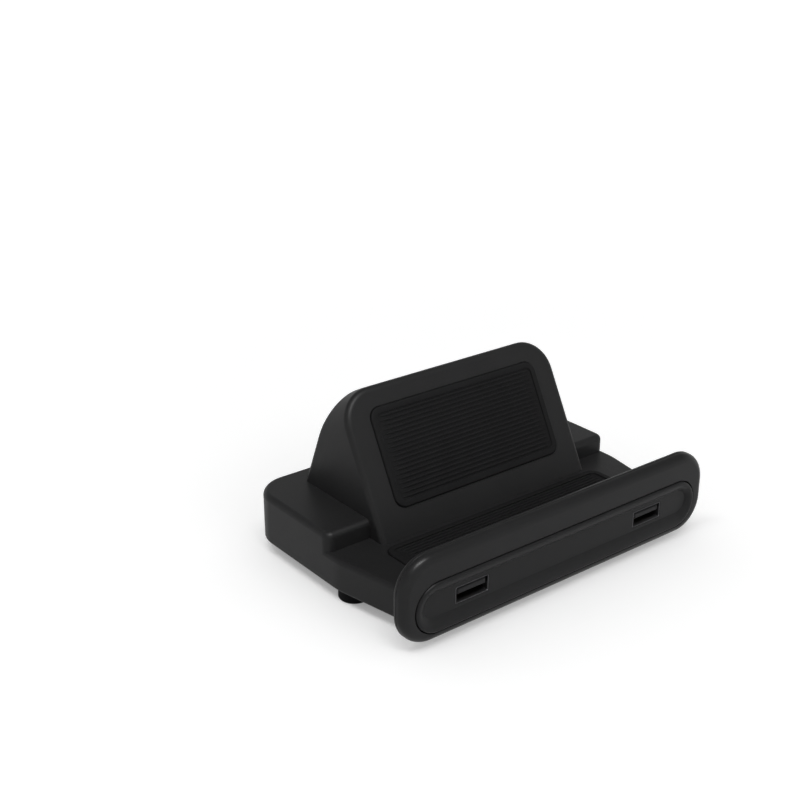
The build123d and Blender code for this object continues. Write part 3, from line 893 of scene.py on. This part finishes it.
class RibTree(GeometryTree):
    """Lays a row of half-round ribs with tapered ends on a mat."""

    CUTS = 24
    FACETS = 16
    STEEPNESS = 22.0
    TIP = 0.05

    def __init__(self) -> None:
        """Builds the tree."""
        sizes = ("Pitch", "Length", "Width", "Height", "Level")
        kinds = {"Count": "NodeSocketInt", **dict.fromkeys(sizes, "NodeSocketFloat"),
                 "Material": "NodeSocketMaterial"}
        super().__init__("grip_ribs", kinds)
        links: Links = {"Points": self._row(), "Instance": self._rib()}
        ribs = self.add("GeometryNodeInstanceOnPoints", links).outputs[0]
        both = self.add("GeometryNodeJoinGeometry")
        self.feed(both.inputs[0], ribs)
        self.feed(both.inputs[0], self.get[0])
        self.end(both.outputs[0])

    def _taper(self) -> NodeSocket:
        """Adds the rib's radius along its length, rounded off at both ends.

        Returns:
            The radius's socket.
        """
        along = self.add("GeometryNodeSplineParameter").outputs["Factor"]
        near = self.calc("MINIMUM", along, self.calc("SUBTRACT", 1.0, along))
        held = self.calc("MINIMUM", self.calc("MULTIPLY", near, self.STEEPNESS), 1.0)
        return self.calc("POWER", self.calc("MAXIMUM", held, self.TIP), 0.5)

    def _rib(self) -> NodeSocket:
        """Adds one rib.

        Returns:
            The rib's socket.
        """
        half = self.calc("MULTIPLY", self.get["Length"], 0.5)
        first = self.add("ShaderNodeCombineXYZ", {0: self.calc("MULTIPLY", half, -1.0)})
        last = self.add("ShaderNodeCombineXYZ", {0: half})
        ends: Links = {"Start": first.outputs[0], "End": last.outputs[0]}
        line = self.add("GeometryNodeCurvePrimitiveLine", ends).outputs[0]
        cut = self.add("GeometryNodeResampleCurve", {"Curve": line, "Count": self.CUTS})
        radii: Links = {"Curve": cut.outputs[0], "Radius": self._taper()}
        shaped = self.add("GeometryNodeSetCurveRadius", radii).outputs[0]
        ring = self.add("GeometryNodeCurvePrimitiveCircle",
                        {"Resolution": self.FACETS, "Radius": 1.0}).outputs[0]
        wide = self.calc("MULTIPLY", self.get["Width"], 0.5)
        flat = self.add("ShaderNodeCombineXYZ", {0: wide, 1: self.get["Height"], 2: 1.0})
        oval = self.add("GeometryNodeTransform", {"Geometry": ring, "Scale": flat.outputs[0]})
        sweep: Links = {"Curve": shaped, "Profile Curve": oval.outputs[0], "Fill Caps": True,
                        "Scale": self.add("GeometryNodeInputRadius").outputs[0]}
        rib = self.add("GeometryNodeCurveToMesh", sweep).outputs[0]
        return self.add("GeometryNodeSetShadeSmooth", {"Geometry": rib}).outputs[0]

    def _row(self) -> NodeSocket:
        """Adds the ribs' places, about the mat's middle.

        Returns:
            The points' socket.
        """
        gaps = self.calc("SUBTRACT", self.get["Count"], 1.0)
        reach = self.calc("MULTIPLY", gaps, self.get["Pitch"])
        low = self.calc("MULTIPLY", reach, -0.5)
        start = self.add("ShaderNodeCombineXYZ", {1: low, 2: self.get["Level"]}).outputs[0]
        step = self.add("ShaderNodeCombineXYZ", {1: self.get["Pitch"]}).outputs[0]
        links: Links = {"Count": self.get["Count"], "Start Location": start, "Offset": step}
        return self.add("GeometryNodeMeshLine", links).outputs[0]


class Workshop:
    """What every sub-assembly shares: materials, trees and the frame's nodes."""

    def __init__(self) -> None:
        """Builds the palette and the trees."""
        self.palette = Palette(FINISHES)
        self.smooth = SmoothTree()
        self.copies = CopiesTree()
        self.ribs = RibTree()
        self.nodes: dict[str, Object] = frame["nodes"]

    def hand_over(self, thing: Object, slot: str, *nodes: str) -> None:
        """Dresses a new piece and puts it in its nodes' place.

        Args:
            thing: The piece.
            slot: The record's material slot.
            *nodes: The nodes that it stands for.
        """
        thing.data.materials.clear()
        thing.data.materials.append(self.palette[slot])
        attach(thing, BODY)
        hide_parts(*nodes)
        LOG.info("%s for %s", thing.name, ", ".join(nodes))

    def keep(self, node: str, slot: str) -> None:
        """Dresses a solid that stays as it is.

        Args:
            node: The solid's node.
            slot: The record's material slot.
        """
        thing = self.nodes[node]
        for holder in thing.material_slots:
            holder.material = self.palette[slot]
        self.smooth.live(thing)
        LOG.info("%s kept", node)


@dataclass
class FrontBar:
    """Rounded front cover with a rolled edge, and the beaded port panel in its opening.

    Attributes:
        corner: Radius of the bar's corners.
        roll: Radius of the rolled front edge.
        wall: Thickness of the cover's front.
        seam: Bevel at the parting line.
        lip: Height of the rabbet for the back plate's lip.
        opening: Radius of the pill-shaped opening.
        opening_drop: How far the opening's middle lies below the panel's.
        opening_trim: How much shorter the opening's middle line is, at each end.
        opening_edge: Round at the opening's rim.
        groove: Width of the gap around the panel.
        bead: Round at the panel's outer edge.
        bead_steps: Facets from the bead's crest to the face.
        face: Radius of the panel's recessed face.
        face_lift: How far the face's middle lies above the panel's.
        recess: Depth of the face behind the cover's front.
        face_wall: Thickness of the face.
        socket: Half width and half height of a socket's cut-out.
        socket_corner: Radius of the cut-out's corners.
        level_slack: How far off its depth a rim of a flat face may lie.
    """

    corner: float = 11.4 * MM
    roll: float = 2.9 * MM
    wall: float = 2.0 * MM
    seam: float = 0.2 * MM
    lip: float = 0.8 * MM
    opening: float = 8.72 * MM
    opening_drop: float = 0.22 * MM
    opening_trim: float = 0.4 * MM
    opening_edge: float = 0.2 * MM
    groove: float = 0.3 * MM
    bead: float = 0.8 * MM
    bead_steps: int = 12
    face: float = 4.12 * MM
    face_lift: float = 0.28 * MM
    recess: float = 0.9 * MM
    face_wall: float = 1.6 * MM
    socket: tuple[float, float] = (6.7 * MM, 3.0 * MM)
    socket_corner: float = 0.65 * MM
    level_slack: float = 0.001 * MM

    def build(self, shop: Workshop) -> None:
        """Makes the cover and the panel, and dresses the back plate.

        Args:
            shop: The shared materials, trees and nodes.
        """
        shop.hand_over(self._cover(), "bar_plastic", "front_cover")
        shop.hand_over(self._panel(), "panel_plastic", "port_panel")
        shop.keep("bar_back_shell", "bar_plastic")

    def _pill_ring(self, radius: float, depth: float, sunk: float = 0.0) -> Ring:
        """A pill-shaped ring around the panel's middle line.

        Args:
            radius: The pill's radius.
            depth: Where the ring lies along Y.
            sunk: Share of the opening's drop and trim that the ring takes.

        Returns:
            The ring.
        """
        low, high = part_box("port_panel")
        line = (high.x - low.x) / 2 - (high.z - low.z) / 2
        reach = line + radius - sunk * self.opening_trim
        level = (high.z + low.z) / 2 - sunk * self.opening_drop
        return Outline(reach, radius, radius, z=level).ring(depth)

    def _cover(self) -> Object:
        """Makes the cover as one closed skin around its section.

        Returns:
            The cover.
        """
        low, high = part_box("front_cover")
        front, back = low.y, high.y
        rim = Outline((high.x - low.x) / 2, (high.z - low.z) / 2, self.corner,
                      z=(high.z + low.z) / 2)
        inner, lip = rim.grown(-self.wall), rim.grown(-self.wall / 2)
        rings = [rim.grown(-self.seam).ring(back), rim.ring(back - self.seam)]
        for inset, depth in quarter(self.roll, steps=10):
            rings.append(rim.grown(-inset).ring(front + depth))
        for inset, depth in reversed(quarter(self.opening_edge, steps=4)):
            rings.append(self._pill_ring(self.opening + inset, front + depth, 1.0))
        rings.append(self._pill_ring(self.opening, front + self.wall, 1.0))
        rings += [inner.ring(front + self.wall), inner.ring(back - self.lip)]
        rings += [lip.ring(back - self.lip), lip.ring(back)]
        mesh = bmesh.new()
        MeshKit.skin(mesh, rings, closed=True)
        return MeshKit.settle(MeshKit.piece("bar_cover", mesh))

    def _bead_section(self, outer: float, drop: float) -> list[Triple]:
        """The bead's section from its outer edge to the face.

        Args:
            outer: Radius of the panel's side.
            drop: Depth of the face behind the bead's crest.

        Returns:
            Radius, depth behind the crest and share of the opening's drop, for each ring.
        """
        section = [(outer - inset, depth, 1.0) for inset, depth in quarter(self.bead, steps=6)]
        crest = outer - self.bead
        risen = -self.face_lift / self.opening_drop
        for step in range(1, self.bead_steps + 1):
            share = step / self.bead_steps
            radius = crest + (self.face - crest) * share
            section.append((radius, drop * share * share, 1.0 + (risen - 1.0) * share))
        return section

    def _panel(self) -> Object:
        """Makes the panel: bead, recessed face with two cut-outs, and a flange behind.

        Returns:
            The panel.
        """
        low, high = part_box("port_panel")
        crest, back = low.y, high.y
        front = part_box("front_cover")[0].y
        behind = front + self.wall
        face = front + self.recess
        floor = face + self.face_wall
        outer = self.opening - self.groove
        flange = (high.z - low.z) / 2
        pocket = self.face + self.wall / 2
        rings = [self._pill_ring(pocket, floor), self._pill_ring(pocket, back),
                 self._pill_ring(flange, back), self._pill_ring(flange, behind),
                 self._pill_ring(outer, behind, 1.0)]
        for radius, depth, sunk in self._bead_section(outer, face - crest):
            rings.append(self._pill_ring(radius, crest + depth, sunk))
        mesh = bmesh.new()
        MeshKit.skin(mesh, rings, closed=False)
        for side in Side:
            hole_low, hole_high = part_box(f"type_a_shell_{side.word}")
            middle = (hole_low + hole_high) / 2
            cut = Outline(*self.socket, self.socket_corner, middle.x, middle.z,
                          **SOCKET_FACETS)
            MeshKit.skin(mesh, [cut.ring(face), cut.ring(floor)], closed=False)
        bmesh.ops.remove_doubles(mesh, verts=mesh.verts, dist=MeshKit.MERGE)
        for depth in (face, floor):
            rims = [edge for edge in mesh.edges if edge.is_boundary
                    and all(abs(vert.co.y - depth) < self.level_slack for vert in edge.verts)]
            MeshKit.fill(mesh, rims)
        return MeshKit.settle(MeshKit.piece("port_panel_insert", mesh))


@dataclass
class Cradle:
    """Upper and lower mouldings of the body, which keep their solids' shape.

    Attributes:
        nodes: The mouldings' solids.
    """

    nodes: tuple[str, ...] = ("cradle_cover", "base_tray")

    def build(self, shop: Workshop) -> None:
        """Dresses the mouldings."""
        for node in self.nodes:
            shop.keep(node, "body_plastic")


@dataclass
class GripMat:
    """A rubber mat with a raised border and a field of fine ribs.

    Attributes:
        name: The piece's name.
        node: The solid that it stands for.
        lean: Turn of the mat about X from level, in radians.
        corner: Radius of its corners.
        thick: Thickness at the border.
        edge: Round at the border's upper edge.
        border: Width of the border.
        border_round: Round at the border's inner edge.
        sink: Depth of the field below the border.
        pitch: Distance between ribs.
        rib: Width and height of a rib.
        rib_room: Length and breadth of the field that the ribs leave free.
    """

    name: str
    node: str
    lean: float = 0.0
    corner: float = 4.0 * MM
    thick: float = 1.4 * MM
    edge: float = 0.5 * MM
    border: float = 2.2 * MM
    border_round: float = 0.2 * MM
    sink: float = 0.45 * MM
    pitch: float = 1.5 * MM
    rib: tuple[float, float] = (0.8 * MM, 0.4 * MM)
    rib_room: tuple[float, float] = (1.6 * MM, 1.2 * MM)

    def build(self, shop: Workshop) -> None:
        """Makes the mat and its ribs, and turns it into place.

        Args:
            shop: The shared materials, trees and nodes.
        """
        low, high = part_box(self.node)
        wide = (high.x - low.x) / 2
        tall = (high.y - low.y) / 2
        if self.lean:
            across = (high.z - low.z) - self.thick * cos(self.lean)
            tall = across / sin(self.lean) / 2
        thing = self._mat(wide, tall)
        room = 2 * (tall - self.border) - self.rib_room[1]
        shop.ribs.apply(thing, Count=int(room / self.pitch) + 1, Pitch=self.pitch,
                        Length=2 * (wide - self.border) - self.rib_room[0],
                        Width=self.rib[0], Height=self.rib[1],
                        Level=self.thick / 2 - self.sink,
                        Material=shop.palette["soft_rubber"])
        turn = Matrix.Rotation(self.lean, 4, "X")
        thing.data.transform(Matrix.Translation((low + high) / 2) @ turn)
        shop.hand_over(thing, "soft_rubber", self.node)

    def _mat(self, wide: float, tall: float) -> Object:
        """Makes the mat without its ribs, level and about the origin.

        Args:
            wide: Half its width.
            tall: Half its length.

        Returns:
            The mat.
        """
        upright = Outline(wide, tall, self.corner, arc=10, run=20, side=8)
        inner = upright.grown(-self.border)
        base = self.thick / 2
        rings = [upright.ring(base)]
        for inset, depth in quarter(self.edge, steps=6):
            rings.append(upright.grown(-inset).ring(depth - base))
        for inset, depth in reversed(quarter(self.border_round, steps=3)):
            rings.append(inner.grown(inset).ring(depth - base))
        rings.append(inner.ring(self.sink - base))
        mesh = bmesh.new()
        MeshKit.plug(mesh, rings)
        return MeshKit.piece(self.name, mesh, Matrix.Rotation(radians(-90.0), 4, "X"))


@dataclass
class Feet:
    """Round rubber feet with a bevelled, dished sole.

    Attributes:
        bevel: Round at the lower edge.
        dish: Depth of the sole's dish.
        rim: Width of the ring around the dish.
        top_bevel: Bevel at the upper edge.
        nodes: The feet's solids.
    """

    bevel: float = 0.7 * MM
    dish: float = 0.35 * MM
    rim: float = 1.1 * MM
    top_bevel: float = 0.2 * MM
    nodes: tuple[str, ...] = ("foot_front_left", "foot_front_right",
                              "foot_rear_left", "foot_rear_right")

    def build(self, shop: Workshop) -> None:
        """Turns each foot in its place.

        Args:
            shop: The shared materials, trees and nodes.
        """
        for node in self.nodes:
            low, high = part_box(node)
            mesh = bmesh.new()
            MeshKit.lathe(mesh, self._profile((high.x - low.x) / 2, high.z - low.z))
            middle = Vector(((low.x + high.x) / 2, (low.y + high.y) / 2, low.z))
            name = node.replace("foot", "rubber_foot")
            thing = MeshKit.piece(name, mesh, Matrix.Translation(middle))
            shop.hand_over(thing, "foot_rubber", node)

    def _profile(self, radius: float, top: float) -> Section:
        """A foot's profile from the middle of its sole to the middle of its top.

        Args:
            radius: The foot's radius.
            top: The foot's height.

        Returns:
            Pairs of radius and height.
        """
        sole = radius - self.bevel - self.rim
        profile = [(0.0, self.dish), (sole - self.dish, self.dish), (sole, 0.0)]
        for inset, height in reversed(quarter(self.bevel, steps=6)):
            profile.append((radius - inset, height))
        return profile + [(radius, top - self.top_bevel), (radius - self.top_bevel, top),
                          (0.0, top)]


@dataclass
class TypeASocket:
    """A type-A socket: folded sleeve with a rolled mouth, tongue and four spring contacts.

    Attributes:
        side: Which end of the bar it sits in.
        metal: Thickness of the sleeve.
        corner: Radius of the sleeve's outer corners.
        mouth_steps: Facets around the sleeve's mouth.
        contacts: Places of the contacts across the tongue.
        contact_width: Width of a contact.
        contact_shape: Shares of its length, lift and width along a contact.
    """

    side: Side
    metal: float = 0.3 * MM
    corner: float = 0.5 * MM
    mouth_steps: int = 8
    contacts: tuple[float, ...] = (-3.5 * MM, -1.0 * MM, 1.0 * MM, 3.5 * MM)
    contact_width: float = 1.0 * MM
    contact_shape: tuple[Triple, ...] = ((0.0, 0.45, 0.7), (0.06, 0.2, 0.9), (0.16, 0.0, 1.0),
                                         (0.34, 0.0, 1.0), (0.5, 0.15, 1.0), (1.0, 0.3, 1.0))

    def build(self, shop: Workshop) -> None:
        """Makes the sleeve and the contacts, and dresses the tongue.

        Args:
            shop: The shared materials, trees and nodes.
        """
        word = self.side.word
        shop.hand_over(self._sleeve(), "socket_metal", f"type_a_shell_{word}")
        shop.keep(f"type_a_tongue_{word}", "socket_plastic")
        shop.hand_over(self._contacts(shop), "contact_gold", f"type_a_contacts_{word}")

    def _sleeve(self) -> Object:
        """Makes the sleeve as a closed skin with a rounded mouth.

        Returns:
            The sleeve.
        """
        low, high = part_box(f"type_a_shell_{self.side.word}")
        middle = (low + high) / 2
        outer = Outline((high.x - low.x) / 2, (high.z - low.z) / 2, self.corner,
                        middle.x, middle.z, **SOCKET_FACETS)
        half = self.metal / 2
        rings = [outer.ring(high.y)]
        for step in range(self.mouth_steps + 1):
            turn = pi * step / self.mouth_steps
            inset = half * (1 - cos(turn))
            rings.append(outer.grown(-inset).ring(low.y + half * (1 - sin(turn))))
        rings.append(outer.grown(-self.metal).ring(high.y))
        mesh = bmesh.new()
        MeshKit.skin(mesh, rings, closed=True)
        return MeshKit.piece(f"socket_sleeve_{self.side.word}", mesh)

    def _contacts(self, shop: Workshop) -> Object:
        """Copies one spring strip with a lifted tip to each contact's place.

        Args:
            shop: The shared materials, trees and nodes.

        Returns:
            The contacts.
        """
        low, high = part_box(f"type_a_contacts_{self.side.word}")
        thick = high.z - low.z
        rings = []
        for along, lift, width in self.contact_shape:
            y = (high.y - low.y) * along
            half = self.contact_width / 2 * width
            under = thick * lift
            rings.append([Vector((-half, y, under)), Vector((half, y, under)),
                          Vector((half, y, thick)), Vector((-half, y, thick))])
        strip = bmesh.new()
        MeshKit.plug(strip, rings)
        form = MeshKit.piece(f"contact_form_{self.side.word}", strip)
        middle = (low.x + high.x) / 2
        places = [(middle + place, low.y, low.z) for place in self.contacts]
        return shop.copies.spread(f"socket_contacts_{self.side.word}", form, places,
                                  shop.palette["contact_gold"])


@dataclass
class BaseScrews:
    """Pan-head screws in the tray's wells, copied from one turned form by Geometry Nodes.

    Attributes:
        head: Radius of the head.
        flat: Radius of the head's flat.
        crown: Height of the head's dome.
        crown_steps: Facets along the dome.
        head_height: Height of the head.
        shank: Radius of the shank.
        point: Radius and length of the shank's point.
        drive: Half length and half width of the cross.
        drive_depth: Depth of the cross.
        facets: Facets around.
        slack: How far above the lowest level a head's underside may lie.
        apart: How many head radii apart the points of one head may lie.
        others: Screws inside the dock, which keep their solids' shape.
    """

    head: float = 2.2 * MM
    flat: float = 1.45 * MM
    crown: float = 0.5 * MM
    crown_steps: int = 5
    head_height: float = 1.5 * MM
    shank: float = 1.1 * MM
    point: tuple[float, float] = (0.4 * MM, 0.5 * MM)
    drive: tuple[float, float] = (1.2 * MM, 0.3 * MM)
    drive_depth: float = 0.7 * MM
    facets: int = 36
    slack: float = 0.01 * MM
    apart: float = 3.0
    others: tuple[str, ...] = ("bar_screws", "board_screws")

    def build(self, shop: Workshop) -> None:
        """Copies the screw to each well and dresses the hidden screws.

        Args:
            shop: The shared materials, trees and nodes.
        """
        low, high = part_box("base_screws")
        places = self._places(shop.nodes["base_screws"], low.z)
        thing = shop.copies.spread("tray_screws", self._form(high.z - low.z), places,
                                   shop.palette["screw_steel"])
        shop.hand_over(thing, "screw_steel", "base_screws")
        for node in self.others:
            shop.keep(node, "screw_steel")

    def _places(self, solid: Object, level: float) -> list[Triple]:
        """Finds the middles of the solids' heads.

        Args:
            solid: The node's object.
            level: Height of the heads' undersides.

        Returns:
            One place for each screw.
        """
        groups: list[Ring] = []
        for vert in solid.data.vertices:
            if vert.co.z > level + self.slack:
                continue
            for group in groups:
                if (group[0].xy - vert.co.xy).length < self.apart * self.head:
                    group.append(vert.co)
                    break
            else:
                groups.append([vert.co])
        places = []
        for group in groups:
            xs, ys = [point.x for point in group], [point.y for point in group]
            places.append(((min(xs) + max(xs)) / 2, (min(ys) + max(ys)) / 2, level))
        return places

    def _cross(self) -> Ring:
        """The drive's outline: three corners, turned four times.

        Returns:
            The outline, clockwise seen from above.
        """
        arm, narrow = self.drive
        corners = [(-arm, narrow), (-narrow, narrow), (-narrow, arm)]
        rim: Ring = []
        for _ in CORNERS:
            rim += [Vector((x, y, 0.0)) for x, y in corners]
            corners = [(y, -x) for x, y in corners]
        return rim

    def _form(self, length: float) -> Object:
        """Makes one screw, head down at the origin, with a cross drive.

        Args:
            length: Its whole length.

        Returns:
            The form.
        """
        mesh = bmesh.new()
        rim = self._cross()
        deep = Vector((0.0, 0.0, self.drive_depth))
        walls = MeshKit.skin(mesh, [rim, [point + deep for point in rim]], closed=False)
        mesh.faces.new(walls[1])
        ring = [mesh.verts.new(point) for point in circle(self.flat, 0.0, self.facets)]
        MeshKit.fill(mesh, MeshKit.loop_edges(mesh, walls[0]) + MeshKit.loop_edges(mesh, ring))
        profile = [(self.flat, 0.0)]
        for step in range(1, self.crown_steps + 1):
            turn = pi / 2 * step / self.crown_steps
            radius = self.flat + (self.head - self.flat) * sin(turn)
            profile.append((radius, self.crown * (1 - cos(turn))))
        tip, taper = self.point
        profile += [(self.head, self.head_height), (self.shank, self.head_height),
                    (self.shank, length - taper), (tip, length), (0.0, length)]
        MeshKit.lathe(mesh, profile, self.facets)
        return MeshKit.piece("screw_form", mesh)


@dataclass
class Inside:
    """Boards, wiring and rear sockets, which keep their solids' shape.

    Attributes:
        nodes: The solids by material slot.
    """

    nodes: dict[str, tuple[str, ...]] = field(default_factory=lambda: {
        "socket_metal": ("video_shell", "type_c_shell_link", "type_c_shell_power"),
        "socket_plastic": ("video_tongue", "type_c_tongue_link", "type_c_tongue_power"),
        "board_laminate": ("port_board", "main_board"),
        "ribbon_film": ("ribbon",),
        "plug_plastic": ("ribbon_plug_front", "ribbon_plug_rear"),
        "chip_resin": ("hub_chip", "video_chip", "power_chip"),
        "inductor_ferrite": ("inductor",),
        "can_aluminium": ("capacitors",),
        "crystal_metal": ("crystal",),
    })

    def build(self, shop: Workshop) -> None:
        """Dresses each solid.

        Args:
            shop: The shared materials, trees and nodes.
        """
        for slot, nodes in self.nodes.items():
            for node in nodes:
                shop.keep(node, slot)


@dataclass(frozen=True)
class SoftBox:
    """A soft box that is aimed at the dock.

    Attributes:
        name: The lamp's name.
        place: Where it hangs.
        width: Its size across.
        depth: Its size along.
        power: Its power in watts.
        lights: Whether it lights dull faces.
        shines: Whether it shows in gloss.
    """

    name: str
    place: Triple
    width: float
    depth: float
    power: float
    lights: bool = True
    shines: bool = False

    def hang(self, aim: Vector) -> None:
        """Hangs the lamp.

        Args:
            aim: Where it looks.
        """
        data = bpy.data.lights.new(self.name, "AREA")
        data.shape = "RECTANGLE"
        data.size = self.width
        data.size_y = self.depth
        data.energy = self.power
        lamp = link(self.name, data)
        lamp.location = self.place
        lamp.rotation_euler = (aim - Vector(self.place)).to_track_quat("-Z", "Y").to_euler()
        lamp.visible_diffuse = self.lights
        lamp.visible_glossy = self.shines


@dataclass
class Stage:
    """Pale floor, soft light and the camera.

    Attributes:
        eye: The camera's place.
        yaw: Its turn from straight ahead to the right, in degrees.
        pitch: Its tilt below level, in degrees.
        lens: Its focal length.
        sensor: Width of its sensor.
        near: Where its view begins.
        aim: Where the lamps look.
        lamps: The soft boxes.
        floor_size: Half the floor's width.
        floor_cells: Faces along the floor's side.
        floor_colour: Grey of the floor.
        floor_roughness: Roughness of the floor.
        floor_glow: White that the seen floor adds near the dock and far from it.
        glow_reach: Distances between which that white grows.
        shade_reach: How far from the dock the painted shadow dims that white.
        shade_depth: Share of that white that the painted shadow dims.
        shade_samples: Rays that measure the dock's nearness for the painted shadow.
        ambient: Strength of the world's light on dull faces.
        ceiling: Grey of the world overhead.
        ceiling_fade: Heights of the view between which the world turns to that grey.
    """

    eye: Triple = (-0.26347, -0.2943, 0.21736)
    yaw: float = 38.15
    pitch: float = 22.87
    lens: float = 58.5
    sensor: float = 36.0
    near: float = 0.01
    aim: Triple = (0.0, -0.01, 0.02)
    lamps: tuple[SoftBox, ...] = (
        SoftBox("key_box", (-0.45, -0.3, 1.3), width=1.2, depth=0.3, power=9.0),
        SoftBox("fill_box", (0.1, -1.55, 0.7), width=1.2, depth=1.2, power=6.0),
        SoftBox("strip_box", (-0.12, -0.52, 1.25), width=0.7, depth=0.16, power=27.0,
                lights=False, shines=True),
    )
    floor_size: float = 6.0
    floor_cells: int = 8
    floor_colour: float = 0.7
    floor_roughness: float = 0.9
    floor_glow: tuple[float, float] = (0.62, 0.95)
    glow_reach: tuple[float, float] = (0.15, 0.9)
    shade_reach: float = 0.09
    shade_depth: float = 0.65
    shade_samples: int = 4
    ambient: float = 0.55
    ceiling: float = 0.1
    ceiling_fade: tuple[float, float] = (0.15, 0.75)

    def build(self) -> None:
        """Makes the floor, the light and the camera."""
        self._floor()
        self._world()
        for lamp in self.lamps:
            lamp.hang(Vector(self.aim))
        self._camera()
        bpy.context.scene.view_settings.view_transform = "Standard"

    @staticmethod
    def _seen(kit: TreeKit) -> NodeSocket:
        """Adds the mask of the rays that show the background.

        Args:
            kit: The tree that gets the nodes.

        Returns:
            Socket that is one for camera, glossy and transmission rays.
        """
        path = kit.add("ShaderNodeLightPath").outputs
        some = kit.calc("MAXIMUM", path["Is Camera Ray"], path["Is Glossy Ray"])
        return kit.calc("MAXIMUM", some, path["Is Transmission Ray"])

    def _floor(self) -> None:
        """Makes a wide pale floor that keeps the dock's shadow from the lamps, and a painted
        shadow.
        """
        mesh = bmesh.new()
        bmesh.ops.create_grid(mesh, x_segments=self.floor_cells, y_segments=self.floor_cells,
                              size=self.floor_size)
        data = bpy.data.meshes.new("floor")
        mesh.to_mesh(data)
        mesh.free()
        data.materials.append(self._floor_white())
        link("floor", data)

    def _floor_white(self) -> Material:
        """Makes the floor's material, which glows white where it is seen and holds a painted shadow
        near the dock.

        Returns:
            The material.
        """
        coat = Coat("floor_white", specular=0.0)
        coat.paint("Base Color", (self.floor_colour,) * 3)
        coat.paint("Roughness", self.floor_roughness)
        coat.paint("Emission Color", (1.0, 1.0, 1.0))
        length = coat.add("ShaderNodeVectorMath", {0: coat.coords}, operation="LENGTH")
        spread = coat.ramp(length.outputs["Value"], *self.glow_reach, *self.floor_glow)
        # Painted shadow: ambient occlusion dims the seen floor's glow near the dock.
        shade = coat.add("ShaderNodeAmbientOcclusion", {"Distance": self.shade_reach},
                         samples=self.shade_samples).outputs["AO"]
        bare = coat.calc("MULTIPLY_ADD", shade, self.shade_depth, 1.0 - self.shade_depth)
        glow_with_painted_shadow = coat.calc("MULTIPLY", spread, bare)
        coat.paint("Emission Strength", coat.calc("MULTIPLY", self._seen(coat), glow_with_painted_shadow))
        return coat.material

    def _world(self) -> None:
        """Makes a world that is white to the sides, greyer overhead and dimmer as light."""
        world = bpy.data.worlds.new("studio")
        bpy.context.scene.world = world
        world.use_nodes = True
        kit = TreeKit(world.node_tree)
        back = kit.tree.nodes["Background"].inputs
        way = kit.add("ShaderNodeTexCoord").outputs["Generated"]
        height = kit.add("ShaderNodeSeparateXYZ", {0: way}).outputs["Z"]
        kit.feed(back["Color"], kit.ramp(height, *self.ceiling_fade, 1.0, self.ceiling))
        strength = kit.calc("MULTIPLY_ADD", self._seen(kit), 1.0 - self.ambient, self.ambient)
        kit.feed(back["Strength"], strength)

    def _camera(self) -> None:
        """Puts the camera at the photograph's place."""
        data = bpy.data.cameras.new("camera")
        data.lens = self.lens
        data.sensor_width = self.sensor
        data.clip_start = self.near
        camera = link("camera", data)
        camera.location = self.eye
        camera.rotation_euler = (radians(90.0 - self.pitch), 0.0, radians(-self.yaw))
        bpy.context.scene.camera = camera


def main() -> None:
    """Builds the sub-assemblies in order, then the stage."""
    logging.basicConfig(level=logging.INFO, format="%(message)s")
    shop = Workshop()
    FrontBar().build(shop)
    Cradle().build(shop)
    GripMat("seat_mat", "seat_pad").build(shop)
    GripMat("rest_mat", "rest_pad", lean=radians(62.0)).build(shop)
    Feet().build(shop)
    for side in Side:
        TypeASocket(side).build(shop)
    BaseScrews().build(shop)
    Inside().build(shop)
    Stage().build()


if __name__ == "__main__":
    main()
